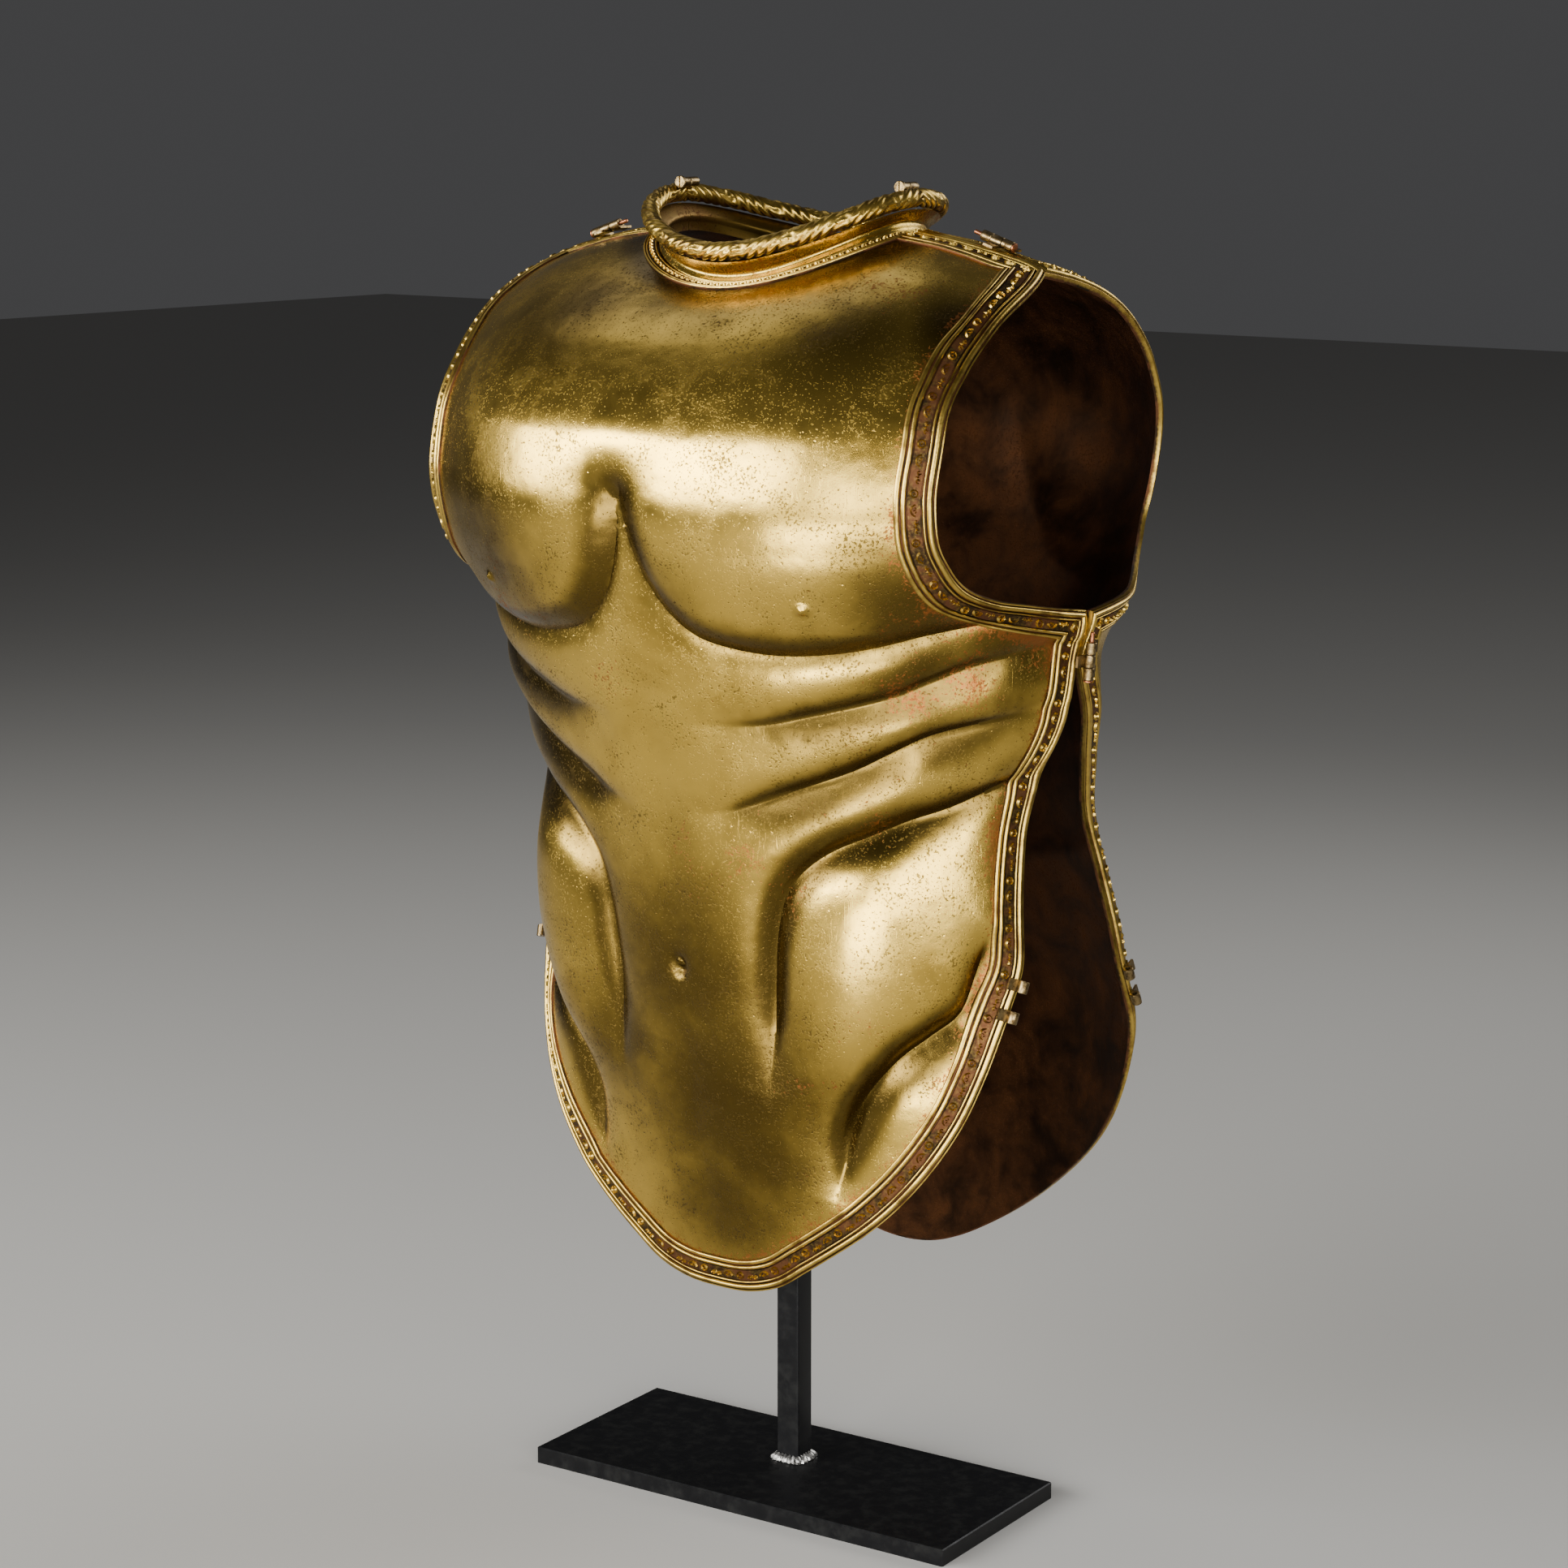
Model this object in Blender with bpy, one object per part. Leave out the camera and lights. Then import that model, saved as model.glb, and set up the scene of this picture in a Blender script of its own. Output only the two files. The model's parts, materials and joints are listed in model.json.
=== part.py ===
# Bronze muscle cuirass on a post stand.
# Metres, +Z up. The chest faces -Y and the wearer's left side is +X.
# The origin is under the middle of the post, on the surface that the stand rests on.
import math

import bmesh
import bpy
from mathutils import Vector, geometry

# Stand: a steel plate, a square post welded to it and a bent bar under the shoulders
BASE_LENGTH = 0.264
BASE_WIDTH = 0.114
BASE_THICK = 0.0092
BASE_SHIFT = (0.0043, -0.0096)
BASE_BEVEL = 0.0006
POST_SIDE = 0.014
STAND_TURN = math.radians(4.0)
WELD_LEG = 0.004
BAR_DEPTH = 0.010
BAR_THICK = 0.005
BAR_DROP = 0.022
BAR_REACH = 0.124
BAR_FOOT = 0.010

# Torso: the sheet form that both plates are beaten to
HEM_LEVEL = 0.118
TORSO_HEIGHT = 0.563
HALF_WIDTH = 0.1805
CHEST_DEPTH = 0.148
BACK_DEPTH = 0.136
PATTERN_HEIGHT = 0.610
SHEET = 0.0016
MUSCLE_RELIEF = 0.010
RIM_FLARE = 0.006
FLARE_REACH = 0.022

# Applied edge strips, neck moulding, collar and rope rim
STRIP_WIDTH = 0.0175
STRIP_HEIGHT = 0.0028
NECK_BAND = 0.0075
NECK_BAND_HEIGHT = 0.0020
COLLAR_RISE = 0.0168
COLLAR_LEAN = 0.0034
COLLAR_WALL = 0.0014
COLLAR_FOOT = 0.003
COLLAR_INSET = 0.0010
ROPE_RADIUS = 0.0050
ROPE_FLUTE = 0.0005
CLASP_RADIUS = 0.0027
CLASP_LENGTH = 0.014

# Hinges: rolled knuckles on leaves, with plain pins
KNUCKLE_RADIUS = 0.0027
KNUCKLE_LENGTH = 0.0062
PIN_RADIUS = 0.0011
PIN_HEAD = 0.0012
PIN_HEAD_RADIUS = 0.0024
PIN_TAIL = 0.005
LEAF_LENGTH = 0.0085
LEAF_THICK = 0.0012
HIP_PITCH = 0.0077
SHOULDER_HINGE_UP = 0.938
SIDE_HINGE_UP = 0.596
HIP_KNUCKLES_UP = 0.292

# Fits and facet sizes
GAP = 0.0003
PIN_CLEAR = 0.0003
CLEAR_REACH = 0.050
BREAST_FACET = 0.0184
BACK_FACET = 0.027
STRIP_FACET = 0.021
COLLAR_FACETS = 14
NECK_END = 74.5
WELD = 1e-9
ROPE_FACETS = 30
CREASE_FACET = 0.0150
CREASE_SOFTEN = 0.0012
LINE_STEPS = 400
ROW_SHARE = 0.87
CREASE_CLEAR = 0.62
KNOB_WIDTH = 0.0042
KNOB_SIDES = 6
SMOOTH_ANGLE = 35.0
ROPE_SMOOTH_ANGLE = 60.0
TURNED_SIDES = 10
PIN_SIDES = 8
CLASP_SIDES = 12
CURVE_STEPS = 4
FEWEST_STATIONS = 3
FEWEST_PLACES = 2
ON_MIDDLE = CREASE_FACET / 4
# Steps for slopes of the sheet, in degrees and in shares of the pattern height
ANGLE_STEP = 0.5
UP_STEP = 0.004
# A join of two walls turned less than this, as the squared sine of the turn, is taken as straight
STRAIGHT_JOIN = 0.08
# How far a hinge starts from the sheet before it is seated
STAND_OFF = 2 * MUSCLE_RELIEF

# Sections of the torso, a row for each level of the sheet from the hem up.
# up is the share of the pattern height; heights are shares of the torso height above the hem level,
# width is a share of the half width, front of the chest depth, back and set of the back depth.
# set is how far the sprung back plate stands behind the seam, spread how much wider it is there.
SECTIONS = (
    # up, side, width, front height, front, front square, back height, back, back square, set, spread
    (0.000, 0.000, 0.820, 0.000, 0.428, 2.10, -0.025, 0.243, 2.2, 0.515, 0.033),
    (0.052, 0.057, 0.831, 0.057, 0.469, 2.10, 0.036, 0.250, 2.2, 0.518, 0.036),
    (0.120, 0.128, 0.853, 0.128, 0.520, 2.10, 0.114, 0.265, 2.2, 0.526, 0.040),
    (0.187, 0.199, 0.870, 0.199, 0.574, 2.05, 0.192, 0.279, 2.2, 0.526, 0.044),
    (0.254, 0.270, 0.884, 0.270, 0.625, 2.00, 0.268, 0.301, 2.2, 0.512, 0.038),
    (0.315, 0.336, 0.884, 0.336, 0.669, 2.00, 0.336, 0.324, 2.2, 0.450, 0.030),
    (0.385, 0.412, 0.864, 0.412, 0.703, 2.00, 0.412, 0.346, 2.2, 0.375, 0.022),
    (0.436, 0.465, 0.850, 0.465, 0.730, 2.00, 0.465, 0.375, 2.2, 0.316, 0.014),
    (0.495, 0.528, 0.898, 0.528, 0.777, 2.00, 0.528, 0.456, 2.2, 0.212, 0.006),
    (0.548, 0.581, 0.961, 0.581, 0.838, 2.00, 0.581, 0.566, 2.3, 0.096, 0.000),
    (0.600, 0.634, 0.983, 0.634, 0.892, 2.02, 0.634, 0.691, 2.4, 0.000, 0.000),
    (0.651, 0.679, 0.994, 0.687, 0.936, 2.05, 0.684, 0.794, 2.6, 0.000, 0.000),
    (0.693, 0.732, 1.000, 0.732, 0.973, 2.20, 0.728, 0.890, 2.9, 0.000, 0.000),
    (0.736, 0.785, 1.000, 0.776, 0.993, 2.30, 0.773, 0.963, 3.0, 0.000, 0.000),
    (0.777, 0.838, 0.992, 0.821, 0.983, 2.30, 0.821, 1.000, 3.0, 0.000, 0.000),
    (0.815, 0.886, 0.964, 0.856, 0.932, 2.30, 0.867, 0.985, 2.9, 0.000, 0.000),
    (0.849, 0.927, 0.920, 0.886, 0.858, 2.25, 0.906, 0.926, 2.7, 0.000, 0.000),
    (0.885, 0.952, 0.859, 0.913, 0.764, 2.20, 0.936, 0.824, 2.4, 0.000, 0.000),
    (0.923, 0.973, 0.753, 0.932, 0.652, 2.15, 0.955, 0.691, 2.3, 0.000, 0.000),
    (0.959, 0.989, 0.593, 0.943, 0.547, 2.10, 0.963, 0.566, 2.2, 0.000, 0.000),
    (0.984, 0.996, 0.465, 0.949, 0.466, 2.20, 0.966, 0.490, 2.2, 0.000, 0.000),
    (1.000, 1.000, 0.407, 0.953, 0.415, 2.25, 0.969, 0.441, 2.2, 0.000, 0.000),
)
SECTION_COLUMNS = ("side", "width", "front_height", "front", "front_square",
                   "back_height", "back", "back_square", "set", "spread")

# Edges of the plates on the pattern, from the middle of the hem to the armpit and round the
# armhole to the shoulder seam: degrees round from the middle line, and share of the pattern height.
BREAST_SIDE = ((0, 0.013), (7, 0.0145), (14, 0.021), (25.5, 0.052), (37, 0.087), (46, 0.120), (54, 0.154),
               (61, 0.187), (66.5, 0.221), (71.5, 0.254), (76, 0.285), (80.8, 0.320), (82, 0.354),
               (83, 0.385), (85, 0.420), (86.5, 0.451), (88.2, 0.502), (89.4, 0.547), (90, 0.600),
               (90, 0.646))
BREAST_ARMHOLE = ((90, 0.646), (80, 0.652), (65.2, 0.664), (58.5, 0.678), (55.5, 0.694),
                  (54, 0.709), (53.3, 0.738), (54.5, 0.768), (56.5, 0.797), (61.4, 0.826),
                  (65.6, 0.839), (72, 0.856), (82, 0.877), (90, 0.893))
BACK_SIDE = ((0, 0.009), (8, 0.0125), (17, 0.026), (30, 0.056), (42, 0.092), (58, 0.148), (72, 0.216),
             (84, 0.266), (90, 0.304), (90, 0.385), (90, 0.495), (90, 0.600), (90, 0.646))
BACK_ARMHOLE = ((90, 0.646), (80, 0.650), (70, 0.654), (58, 0.666), (50.5, 0.690), (49, 0.725),
                (51, 0.773), (57, 0.820), (68, 0.860), (80, 0.882), (90, 0.893))

# Creases between the beaten muscles, mirrored to both sides. Each has its depth as a share of the
# muscle relief, its reach on the steep side (to the left of the line) and on the gentle side as
# shares of the half width, and its line as (degrees, share of the pattern height, strength).
BREAST_CREASES = (
    ("upper_rib", 0.80, 0.044, 0.110, ((8, 0.537, 0), (20, 0.539, 0.6), (24.5, 0.541, 0.8), (32, 0.549, 1),
                                       (46.8, 0.567, 1), (54.5, 0.581, 1), (65.5, 0.598, 0.8),
                                       (83, 0.613, 0.4))),
    ("middle_rib", 0.90, 0.044, 0.110, ((6, 0.452, 0), (16, 0.460, 0.5), (24, 0.471, 0.9), (40, 0.496, 1),
                                        (47.5, 0.512, 1), (55, 0.528, 1), (63.5, 0.538, 0.9),
                                        (75, 0.549, 0.5), (85, 0.555, 0.2))),
    ("rib_arch_and_side", 1.10, 0.055, 0.060, ((18, 0.205, 0), (19, 0.247, 0.5), (19.4, 0.280, 0.85),
                                               (20, 0.312, 1), (21.2, 0.348, 1), (24, 0.383, 1),
                                               (29, 0.408, 1), (36, 0.427, 1), (44.8, 0.441, 0.95),
                                               (53.8, 0.453, 0.9), (64, 0.463, 0.8), (77.5, 0.481, 0.6),
                                               (86, 0.490, 0.3))),
    ("hip", 1.30, 0.055, 0.080, ((30, 0.110, 0), (32.2, 0.148, 0.6), (33.8, 0.179, 0.95), (38.2, 0.212, 1),
                                 (46, 0.245, 1), (54.8, 0.266, 1), (64, 0.288, 0.9), (69, 0.328, 0.6),
                                 (73, 0.365, 0))),
)
BACK_CREASES = (
    ("spine", 0.70, 0.100, 0.100, ((0, 0.880, 0), (0, 0.800, 0.7), (0, 0.600, 1), (0, 0.420, 1),
                                   (0, 0.320, 0.6), (0, 0.250, 0))),
    ("blade_edge", 0.45, 0.110, 0.090, ((14, 0.800, 0), (19, 0.730, 0.8), (30, 0.660, 1), (48, 0.640, 0.8),
                                        (66, 0.640, 0))),
    ("loin", 0.40, 0.060, 0.120, ((16, 0.330, 0), (24, 0.365, 0.8), (40, 0.385, 1), (60, 0.400, 0.7),
                                  (80, 0.420, 0))),
)
# Swellings and small knobs: share of the muscle relief (minus is sunk), half width as a share of the
# half width of the torso, and the line it follows as (degrees, share of the pattern height).
BREAST_SWELLINGS = (
    ("flank", 0.50, 0.190, ((44, 0.375), (38, 0.320), (37, 0.260))),
    ("lower_belly", 0.15, 0.160, ((6, 0.120), (9, 0.200))),
    ("middle_line", -0.08, 0.050, ((0, 0.560), (0, 0.400), (0, 0.330))),
    ("nipple", 0.22, 0.013, ((32.6, 0.655), (32.6, 0.656))),
    ("navel", -0.42, 0.023, ((0, 0.316), (0, 0.311))),
    ("navel_knob", 0.38, 0.009, ((0, 0.317), (0, 0.318))),
)
BACK_SWELLINGS = (
    ("shoulder_blade", 0.40, 0.230, ((34, 0.780), (30, 0.740))),
    ("loin_swell", 0.20, 0.150, ((17, 0.520), (16, 0.460), (17, 0.400))),
    ("seat", 0.50, 0.300, ((32, 0.230), (30, 0.190))),
)
# Lower edge of the chest muscles. Above it they stand out by the swell, which fades upward, and a
# furrow runs along it; both are shares of the muscle relief, and the reaches of the half width.
PECTORAL_EDGE = ((0, 0.735), (1.6, 0.690), (4.5, 0.655), (9, 0.628), (15, 0.612), (27, 0.604),
                 (41, 0.611), (55, 0.629), (68, 0.642), (90, 0.650))
PECTORAL_SWELL = 1.05
PECTORAL_FURROW = 0.45
PECTORAL_REACH_IN = 0.080
PECTORAL_REACH_OUT = 0.060
PECTORAL_FADE_FROM = 0.707
PECTORAL_FADE = 0.19
PECTORAL_SIDE_FROM = 48
PECTORAL_SIDE_FADE = 36

# Cross-section of an edge strip, from its inner to its outer edge: share of the width and height
STRIP_PROFILE = ((0.00, 0.60), (0.13, 0.85), (0.22, 0.45), (0.36, 0.95), (0.60, 0.90), (0.72, 0.45),
                 (0.88, 1.00), (1.00, 0.85))
BAND_PROFILE = ((0.00, 0.55), (0.30, 1.00), (0.60, 1.00), (0.80, 0.50), (1.00, 0.60))
# Outer face of the collar wall above the sheet: share of the way out to its lip, share of its height
COLLAR_PROFILE = ((0.00, 0.12), (-0.30, 0.40), (0.05, 0.66), (0.55, 0.88), (1.00, 1.00))

BRONZE = (0.55, 0.40, 0.14)
DARK_BRONZE = (0.36, 0.24, 0.09)
COPPER = (0.55, 0.27, 0.14)
BLACK_STEEL = (0.03, 0.03, 0.032)
WELD_STEEL = (0.30, 0.30, 0.31)


def slopes(xs, ys):
    """Slopes of a smooth curve through the points that never overshoots them."""
    steps = [(y1 - y0) / (x1 - x0) for x0, x1, y0, y1 in zip(xs, xs[1:], ys, ys[1:])]
    inner = [2 * a * b / (a + b) if a * b > 0 else 0.0 for a, b in zip(steps, steps[1:])]
    return [steps[0]] + inner + [steps[-1]]


def smooth_curve(xs, ys):
    """A function that follows the points smoothly, and runs straight on past both ends."""
    rates = slopes(xs, ys)

    def value(x):
        if x <= xs[0]:
            return ys[0] + (x - xs[0]) * rates[0]
        if x >= xs[-1]:
            return ys[-1] + (x - xs[-1]) * rates[-1]
        k = next(i for i in range(len(xs) - 1) if x <= xs[i + 1])
        span = xs[k + 1] - xs[k]
        t = (x - xs[k]) / span
        return (ys[k] * (1 + 2 * t) * (1 - t) ** 2 + ys[k + 1] * t * t * (3 - 2 * t)
                + span * (rates[k] * t * (1 - t) ** 2 - rates[k + 1] * t * t * (1 - t)))

    return value


UPS = [row[0] for row in SECTIONS]
SECTION = {name: smooth_curve(UPS, [row[k + 1] for row in SECTIONS])
           for k, name in enumerate(SECTION_COLUMNS)}


def smoothstep(t):
    t = min(max(t, 0.0), 1.0)
    return t * t * (3 - 2 * t)


def skin(side, angle, up):
    """A point of the smooth torso; side is -1 on the breast and 1 on the back, angle in degrees."""
    name = "front" if side < 0 else "back"
    square = SECTION[name + "_square"](up)
    s, c = math.sin(math.radians(angle)), math.cos(math.radians(angle))
    reach = (abs(s) ** square + abs(c) ** square) ** (-1 / square)
    width = SECTION["width"](up)
    offset = GAP / 2
    depth = CHEST_DEPTH * SECTION[name](up)
    if side > 0:
        width += SECTION["spread"](up)
        offset += BACK_DEPTH * SECTION["set"](up)
        depth = BACK_DEPTH * SECTION[name](up)
    middle, edge = SECTION[name + "_height"](up), SECTION["side"](up)
    height = HEM_LEVEL + TORSO_HEIGHT * (middle + (edge - middle) * s * s)
    return Vector((HALF_WIDTH * width * s * reach, side * (offset + depth * c * reach), height))


def skin_frame(side, angle, up):
    """Rates of the skin along angle and up, and its outward normal."""
    along = skin(side, angle + ANGLE_STEP, up) - skin(side, angle - ANGLE_STEP, up)
    upward = (skin(side, angle, up + UP_STEP) - skin(side, angle, up - UP_STEP)) / (2 * UP_STEP)
    normal = along.cross(upward).normalized() * -side
    return along, upward, normal


def flat(angle, up):
    """Place on the flat pattern, near enough to real lengths to measure furrows on."""
    return Vector((math.radians(angle) * (HALF_WIDTH + CHEST_DEPTH) / 2, up * PATTERN_HEIGHT))


def distance_to(line, place):
    best = 1.0
    for start, end in zip(line, line[1:]):
        run = end - start
        share = min(max((place - start).dot(run) / max(run.length_squared, 1e-12), 0.0), 1.0)
        best = min(best, (place - start - run * share).length)
    return best


def catmull(points, t):
    """Place on a smooth line through the points; t counts points."""
    k = min(int(t), len(points) - 2)
    t -= k
    p = [points[max(k - 1, 0)], points[k], points[k + 1], points[min(k + 2, len(points) - 1)]]
    return tuple(0.5 * (2 * b + (c - a) * t + (2 * a - 5 * b + 4 * c - d) * t * t
                        + (3 * b - a - 3 * c + d) * t ** 3) for a, b, c, d in zip(*p))


def pattern_curve(points, steps=CURVE_STEPS):
    """A smooth line on the flat pattern, with the strength at each of its places if it has one."""
    count = steps * (len(points) - 1)
    fine = [catmull(points, i / steps) for i in range(count + 1)]
    return [flat(*place[:2]) for place in fine], [place[2] for place in fine if len(place) > 2]


CREASES = {side: [(size * MUSCLE_RELIEF, steep * HALF_WIDTH, gentle * HALF_WIDTH, *pattern_curve(line))
                  for name, size, steep, gentle, line in creases]
           for side, creases in ((-1, BREAST_CREASES), (1, BACK_CREASES))}
SWELLINGS = {side: [(size * MUSCLE_RELIEF, width * HALF_WIDTH, [flat(*point) for point in line])
                    for name, size, width, line in swellings]
             for side, swellings in ((-1, BREAST_SWELLINGS), (1, BACK_SWELLINGS))}
ARMHOLES = {-1: [flat(*p) for p in BREAST_ARMHOLE], 1: [flat(*p) for p in BACK_ARMHOLE]}
PECTORAL_LINE = pattern_curve(PECTORAL_EDGE)[0]


def beside_line(line, place):
    """How far a place lies from a line, whether it is to its left, and how far along the line."""
    best = (1.0, True, 0.0)
    for k, (start, end) in enumerate(zip(line, line[1:])):
        run = end - start
        share = min(max((place - start).dot(run) / run.length_squared, 0.0), 1.0)
        gap = place - start - run * share
        if gap.length < best[0]:
            best = (gap.length, run.x * gap.y - run.y * gap.x > 0, k + share)
    return best


def crease_depth(crease, place):
    """Depth of one crease at a place: deepest on its line, and steeper on the line's left."""
    depth, steep, gentle, line, strengths = crease
    away, left, along = beside_line(line, place)
    away = math.hypot(away, CREASE_SOFTEN) - CREASE_SOFTEN
    k = min(int(along), len(strengths) - 2)
    strength = strengths[k] + (strengths[k + 1] - strengths[k]) * (along - k)
    return depth * strength * math.exp(-away / (steep if left else gentle))


def pectoral_rise(place, angle, up):
    """How far the chest muscles stand out, and the furrow along their lower edge."""
    away, left, _ = beside_line(PECTORAL_LINE, place)
    if not left:
        return -PECTORAL_FURROW * math.exp(-away / (PECTORAL_REACH_OUT * HALF_WIDTH))
    near = math.exp(-away / (PECTORAL_REACH_IN * HALF_WIDTH))
    top = 1 - smoothstep((up - PECTORAL_FADE_FROM) / PECTORAL_FADE)
    edge = 1 - smoothstep((angle - PECTORAL_SIDE_FROM) / PECTORAL_SIDE_FADE)
    return PECTORAL_SWELL * top * edge * (1 - near) - PECTORAL_FURROW * near


def relief(side, angle, up):
    """How far the beaten sheet stands out from the smooth torso."""
    angle = abs(angle)
    place = flat(angle, up)
    out = RIM_FLARE * math.exp(-(distance_to(ARMHOLES[side], place) / FLARE_REACH) ** 2)
    for size, width, line in SWELLINGS[side]:
        out += size * math.exp(-(distance_to(line, place) / width) ** 2)
    deepest = sum(max(crease_depth(crease, place), 0.0) ** 3 for crease in CREASES[side])
    out -= deepest ** (1 / 3)
    if side < 0:
        out += MUSCLE_RELIEF * pectoral_rise(place, angle, up)
    return out


def sheet_point(side, place, lift=0.0):
    """A point on the outer face of the sheet, or lifted off it along the normal."""
    angle, up = place
    normal = skin_frame(side, angle, up)[2]
    return skin(side, angle, up) + normal * (relief(side, angle, up) + lift)


def even_places(side, points, facet):
    """Places along a line of the pattern, evenly spaced on the sheet."""
    fine = [catmull(points, (len(points) - 1) * i / LINE_STEPS) for i in range(LINE_STEPS + 1)]
    solid = [skin(side, *place) for place in fine]
    length = [0.0]
    for a, b in zip(solid, solid[1:]):
        length.append(length[-1] + (b - a).length)
    count = max(FEWEST_STATIONS, round(length[-1] / facet))
    places, k = [], 0
    for i in range(count + 1):
        want = length[-1] * i / count
        while k < LINE_STEPS - 1 and length[k + 1] < want:
            k += 1
        t = (want - length[k]) / (length[k + 1] - length[k])
        places.append(tuple(a + (b - a) * t for a, b in zip(fine[k], fine[k + 1])))
    return [points[0]] + places[1:-1] + [points[-1]]


def mirrored(places):
    return [(-angle, up) for angle, up in reversed(places)]


def neck_angles():
    """Stations round the neck from the left seam to the right: the first is a strip's width along."""
    wide = 2 * NECK_END / (COLLAR_FACETS - 2)
    return [90.0] + [NECK_END - wide * i for i in range(COLLAR_FACETS - 1)] + [-90.0]


def inward(side, before, place, after, width_before, width_after):
    """The place that lies the given widths in from the edges before and after it."""
    along, upward, normal = skin_frame(side, *place)
    here = skin(side, *place)
    walls = []
    for a, b, width in ((before, place, width_before), (place, after, width_after)):
        run = skin(side, *b) - skin(side, *a)
        run -= normal * run.dot(normal)
        walls.append((normal.cross(run).normalized() * -side, width))
    (n1, w1), (n2, w2) = walls
    spread = 1 - n1.dot(n2) ** 2
    if spread < STRAIGHT_JOIN:
        move = (n1 + n2).normalized() * (w1 + w2) / 2
    else:
        move = n1 * ((w1 - w2 * n1.dot(n2)) / spread) + n2 * ((w2 - w1 * n1.dot(n2)) / spread)
    aa, ab, bb = along.dot(along), along.dot(upward), upward.dot(upward)
    ma, mb = move.dot(along), move.dot(upward)
    det = aa * bb - ab * ab
    return place[0] + (ma * bb - mb * ab) / det, place[1] + (mb * aa - ma * ab) / det


def plate_runs(side):
    """Stations along each part of a plate's edge: the place on the edge and the one a border inside."""
    side_line, armhole = (BREAST_SIDE, BREAST_ARMHOLE) if side < 0 else (BACK_SIDE, BACK_ARMHOLE)
    around = [(angle, 1.0) for angle in neck_angles()]
    neck = [inward(side, *around[i - 1:i + 2], NECK_BAND, NECK_BAND) for i in range(1, COLLAR_FACETS)]
    neck = [(90.0, neck[0][1])] + neck + [(-90.0, neck[-1][1])]
    hem = even_places(side, side_line, STRIP_FACET)
    arm = even_places(side, armhole, STRIP_FACET)
    seam = even_places(side, (armhole[-1], (90, (armhole[-1][1] + neck[0][1]) / 2), neck[0]),
                       STRIP_FACET)
    parts = (("shoulder_right", mirrored(seam)), ("armhole_right", mirrored(arm)),
             ("hem", mirrored(hem)[:-1] + hem), ("armhole_left", arm), ("shoulder_left", seam))
    chain = [parts[0][1][0]]
    for _, places in parts:
        chain += places[1:]
    inner = [neck[-2]]
    inner += [inward(side, *chain[i - 1:i + 2], STRIP_WIDTH, STRIP_WIDTH)
              for i in range(1, len(chain) - 1)]
    inner.append(neck[1])
    runs, first = {"neck": list(zip(around, neck))}, 0
    for name, places in parts:
        last = first + len(places) - 1
        runs[name] = list(zip(chain[first:last + 1], inner[first:last + 1]))
        first = last
    return runs, inner + neck[2:-2]


def inside(polygon, place, margin):
    """Whether a place of the flat pattern lies inside a closed line, at least the margin from it."""
    odd = False
    for a, b in zip(polygon, polygon[1:] + polygon[:1]):
        if (a.y > place.y) != (b.y > place.y):
            if place.x < a.x + (b.x - a.x) * (place.y - a.y) / (b.y - a.y):
                odd = not odd
    return odd and distance_to(polygon + polygon[:1], place) > margin


def knob_places(side):
    """A ring of places round each small knob, and one in its middle."""
    places = []
    for _, width, line in SWELLINGS[side]:
        if width < KNOB_WIDTH:
            ring = [line[0] + Vector((math.cos(a), math.sin(a))) * KNOB_WIDTH
                    for a in (math.tau * k / KNOB_SIDES for k in range(KNOB_SIDES))]
            spots = [line[0]] + ring
            hands = (1, -1) if line[0].x > KNOB_WIDTH else (1,)
            spots = [Vector((spot.x * hand, spot.y)) for spot in spots for hand in hands]
            places += [spot for spot in spots
                       if all((spot - other).length > KNOB_WIDTH / 2 for other in places)]
    return places


def crease_places(side, limit):
    """Places along each crease on both sides of the body, so that the facets meet in it."""
    lines = [line for *_, line, _ in CREASES[side]] + ([PECTORAL_LINE] if side < 0 else [])
    around = (HALF_WIDTH + CHEST_DEPTH) / 2
    places = knob_places(side)
    for line in lines:
        length = [0.0]
        for a, b in zip(line, line[1:]):
            length.append(length[-1] + (b - a).length)
        count = max(FEWEST_PLACES, round(length[-1] / CREASE_FACET))
        for i in range(count + 1):
            want = length[-1] * i / count
            k = next((k for k in range(len(line) - 2) if length[k + 1] >= want), len(line) - 2)
            spot = line[k].lerp(line[k + 1], (want - length[k]) / (length[k + 1] - length[k]))
            for hand in (1, -1) if spot.x > ON_MIDDLE else (1,):
                place = Vector((spot.x * hand, spot.y))
                if inside(limit, place, CREASE_FACET / 2) and all(
                        (place - other).length > CREASE_FACET / 2 for other in places):
                    places.append(place)
    return [(math.degrees(place.x / around), place.y / PATTERN_HEIGHT) for place in places]


def inner_places(side, border, facet):
    """Places along the creases and even ones between them, in staggered rows, inside the border."""
    limit = [flat(*place) for place in border]
    places = crease_places(side, limit)
    creased = [flat(*place) for place in places]
    rows = round(PATTERN_HEIGHT / (facet * ROW_SHARE))
    for row in range(rows + 1):
        up = row / rows
        girth = (HALF_WIDTH * SECTION["width"](up)
                 + CHEST_DEPTH * SECTION["front"](up)) / 2 * math.radians(90)
        half = max(FEWEST_PLACES, round(girth / facet))
        for k in range(-half, half + 1):
            angle = 90 * (k + 0.5 * (row % 2)) / half
            spot = flat(angle, up)
            clear = all((spot - other).length > facet * CREASE_CLEAR for other in creased)
            if clear and inside(limit, spot, facet / 2):
                places.append((angle, up))
    return places


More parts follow.
